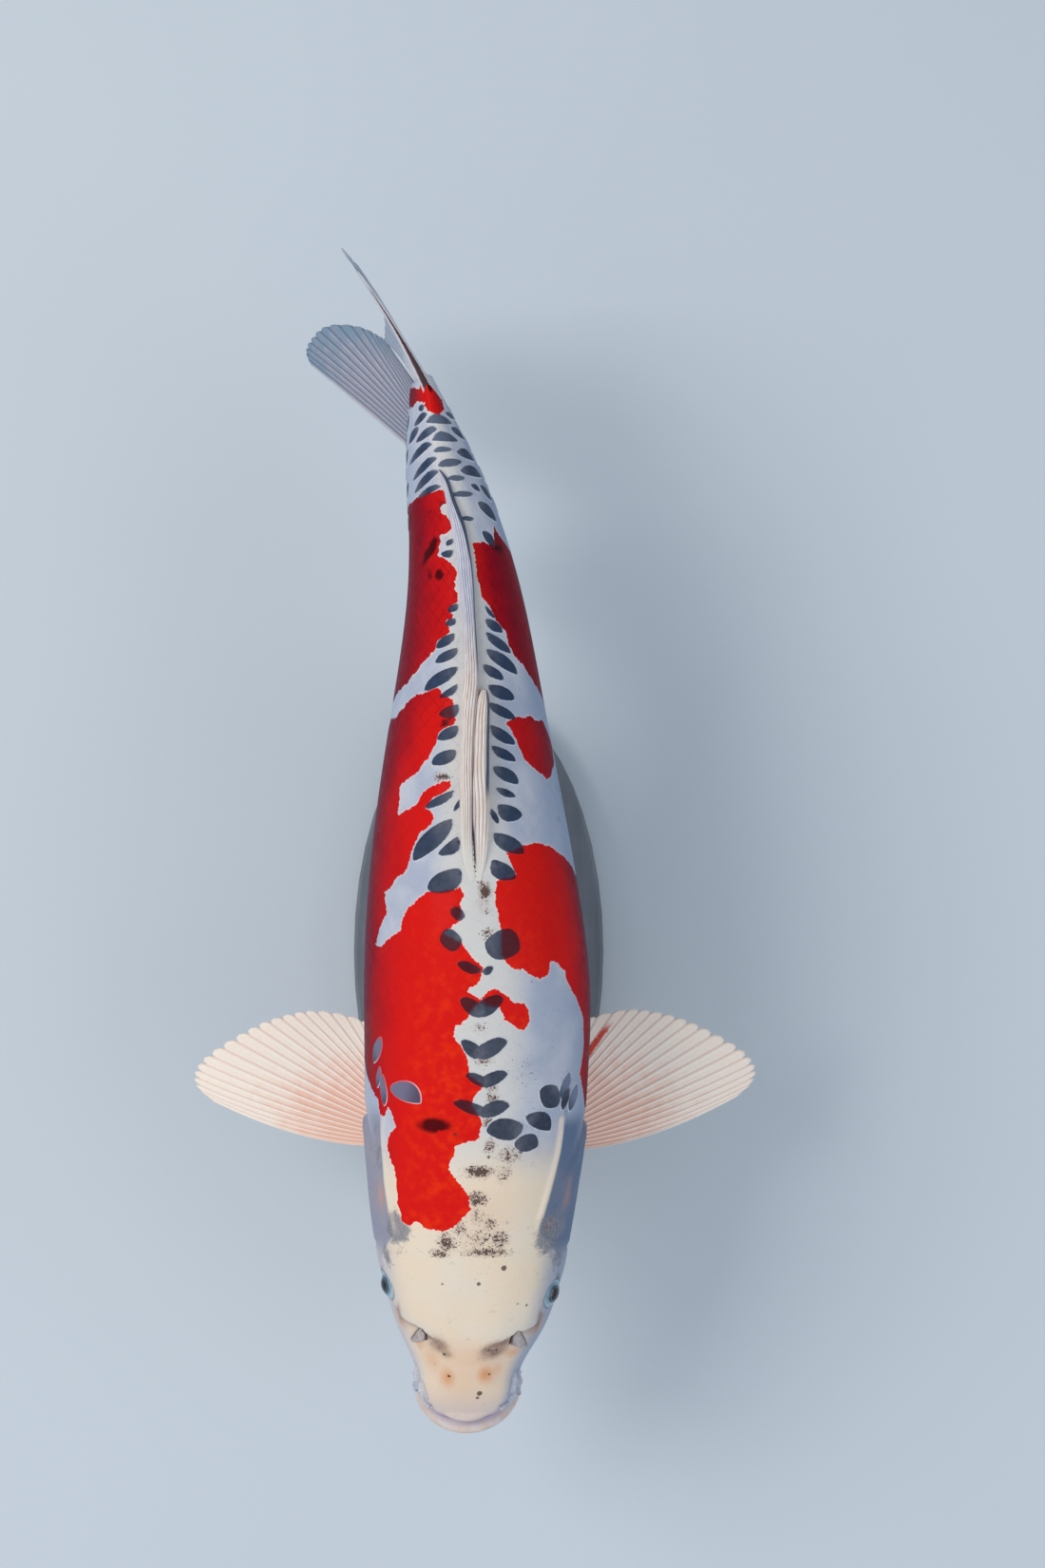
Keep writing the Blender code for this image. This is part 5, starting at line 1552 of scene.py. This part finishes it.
def dress(body, paint, slot, *nodes):
    body.data.materials.clear()
    body.data.materials.append(paint)
    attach(body, "root")
    if nodes:
        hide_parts(*nodes)


def build_head_pieces():
    eye = eye_paint()
    soft = flesh_paint()
    for side, word in SIDES:
        dress(build_eye("eyeball_" + word, side), eye, "eye", "eye_" + word)
    for barbel in build_barbels():
        dress(barbel, soft, "head_skin", barbel.name.replace("_skin", ""))
    for word, places in NOSTRIL_FLAPS.items():
        dress(build_nostril_flap("nostril_flap_" + word, *places), soft, "head_skin")


def build_fins():
    plain_web = web_paint("pectoral_web", *PEACH)
    red_web = web_paint("pectoral_web_red", *PEACH, wedge=RED_WEDGE)
    belly_web = web_paint("pelvic_web", *BELLY)
    upper_web = web_paint("caudal_web_upper", *UPPER_TAIL, streak=DARK_STREAK)
    lower_web = web_paint("caudal_web_lower", *LOWER_TAIL, tip_from=0.62, lines=0.75)
    rear_web = dorsal_paint("dorsal_web_rear", 0.42, 0.50, (0.11, 0.46), 0.90)
    front_web = dorsal_paint("dorsal_web_front", 1.2, 0.45, (0.20, 0.20), 0.10)
    upper, lower = caudal_fans()
    for fin, web, *node in (
            (build_fin("pectoral_web_left", pectoral_fan(1, 1.02, 3.0), *PECTORAL, per_ray=10),
             red_web, "pectoral_fin_left"),
            (build_fin("pectoral_web_right", pectoral_fan(-1, 1.00, 0.0), *PECTORAL, per_ray=10, flip=-1.0),
             plain_web, "pectoral_fin_right"),
            (build_fin("pelvic_web_left", pelvic_fan(1), *PELVIC, rows=44), belly_web, "pelvic_fin_left"),
            (build_fin("pelvic_web_right", pelvic_fan(-1), *PELVIC, rows=44), belly_web, "pelvic_fin_right"),
            (build_fin("anal_web", anal_fan(), *ANAL, rows=44), belly_web, "anal_fin"),
            (build_fin("caudal_web_upper", upper, *TAIL_UPPER, rows=60, notch_from=0.2),
             upper_web, "caudal_fin_upper"),
            (build_fin("caudal_web_lower", lower, *TAIL_LOWER, rows=72, notch_from=0.1),
             lower_web, "caudal_fin_lower"),
            (build_pleats("dorsal_web_rear", DORSAL_STRIP, 6.0, 0.0009), rear_web, "dorsal_fin"),
            (build_pleats("dorsal_web_front", DORSAL_LOBE, 5.0, 0.0010), front_web)):
        dress(fin, web, "fin_web", *node)


def build_fish():
    dress(build_skin(), skin_paint(), "body_skin", "head", "lower_jaw", "upper_lip", "gill_cover_left",
          "gill_cover_right", "trunk_front", "trunk_middle", "trunk_rear", "tail_stem")
    dark = scale_paint("mirror_scale_paint", 0.0)
    pale = scale_paint("pale_scale_paint", 1.0)
    for word, rows, paint, seed in (("back", SCALES, dark, 11), ("flank", flank_scales(), dark, 12),
                                    ("shoulder", PALE_SCALES, pale, 13)):
        dress(build_scales("mirror_scales_" + word, rows, seed), paint, "body_skin")
    build_head_pieces()
    build_fins()


def paint_stand():
    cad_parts["stand_base"].material_slots[0].material = base_paint()
    steel = rod_paint()
    for word in ("front", "rear"):
        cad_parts["stand_rod_" + word].material_slots[0].material = steel


# ---- studio ---------------------------------------------------------------------------------
CAMERA_OVER = (0.026, 0.0993)
CAMERA_HEIGHT = 1.8                # above the body axis
FRAME_HEIGHT = 0.858               # what the picture's height takes in at the body axis
FLOOR_REACH = 6
LIT_PLACE = (0.0, 0.05, AXIS_HEIGHT)
# name, place, width and height, power, colour
LIGHTS = (
    ("key_light", (-1.5, 0.5, 1.9), (1.3, 1.3), 29.0, (1.0, 0.97, 0.93)),
    ("fill_light", (1.6, -0.6, 1.5), (1.8, 1.8), 11.0, (0.86, 0.93, 1.0)),
    ("low_light", (-0.4, -2.0, 0.7), (1.6, 0.8), 7.0, (1.0, 1.0, 1.0)),
)
SKY_COLOUR = (0.80, 0.87, 0.95, 1.0)
SKY_STRENGTH = 0.54


def add_to_scene(name, data, place):
    body = bpy.data.objects.new(name, data)
    bpy.context.scene.collection.objects.link(body)
    body.location = place
    return body


def build_studio():
    floor = make_mesh("floor", [(x * FLOOR_REACH, y * FLOOR_REACH, 0)
                                for x, y in ((-1, -1), (1, -1), (1, 1), (-1, 1))], [(0, 1, 2, 3)])
    floor.data.materials.append(floor_paint())
    for name, place, size, power, colour in LIGHTS:
        light = bpy.data.lights.new(name, "AREA")
        light.shape = "RECTANGLE"
        light.size, light.size_y = size
        light.energy = power
        light.color = colour
        lamp = add_to_scene(name, light, place)
        lamp.rotation_euler = (Vector(LIT_PLACE) - Vector(place)).to_track_quat("-Z", "Y").to_euler()

    world = bpy.data.worlds.new("studio")
    world.use_nodes = True
    world.node_tree.nodes["Background"].inputs["Color"].default_value = SKY_COLOUR
    world.node_tree.nodes["Background"].inputs["Strength"].default_value = SKY_STRENGTH
    bpy.context.scene.world = world

    lens = bpy.data.cameras.new("camera")
    lens.sensor_fit = "AUTO"
    lens.lens = lens.sensor_width * CAMERA_HEIGHT / FRAME_HEIGHT
    lens.clip_start = 0.01
    bpy.context.scene.camera = add_to_scene("camera", lens, (*CAMERA_OVER, AXIS_HEIGHT + CAMERA_HEIGHT))
    bpy.context.scene.view_settings.view_transform = "Standard"


build_fish()
paint_stand()
build_studio()

bpy.context.view_layer.update()
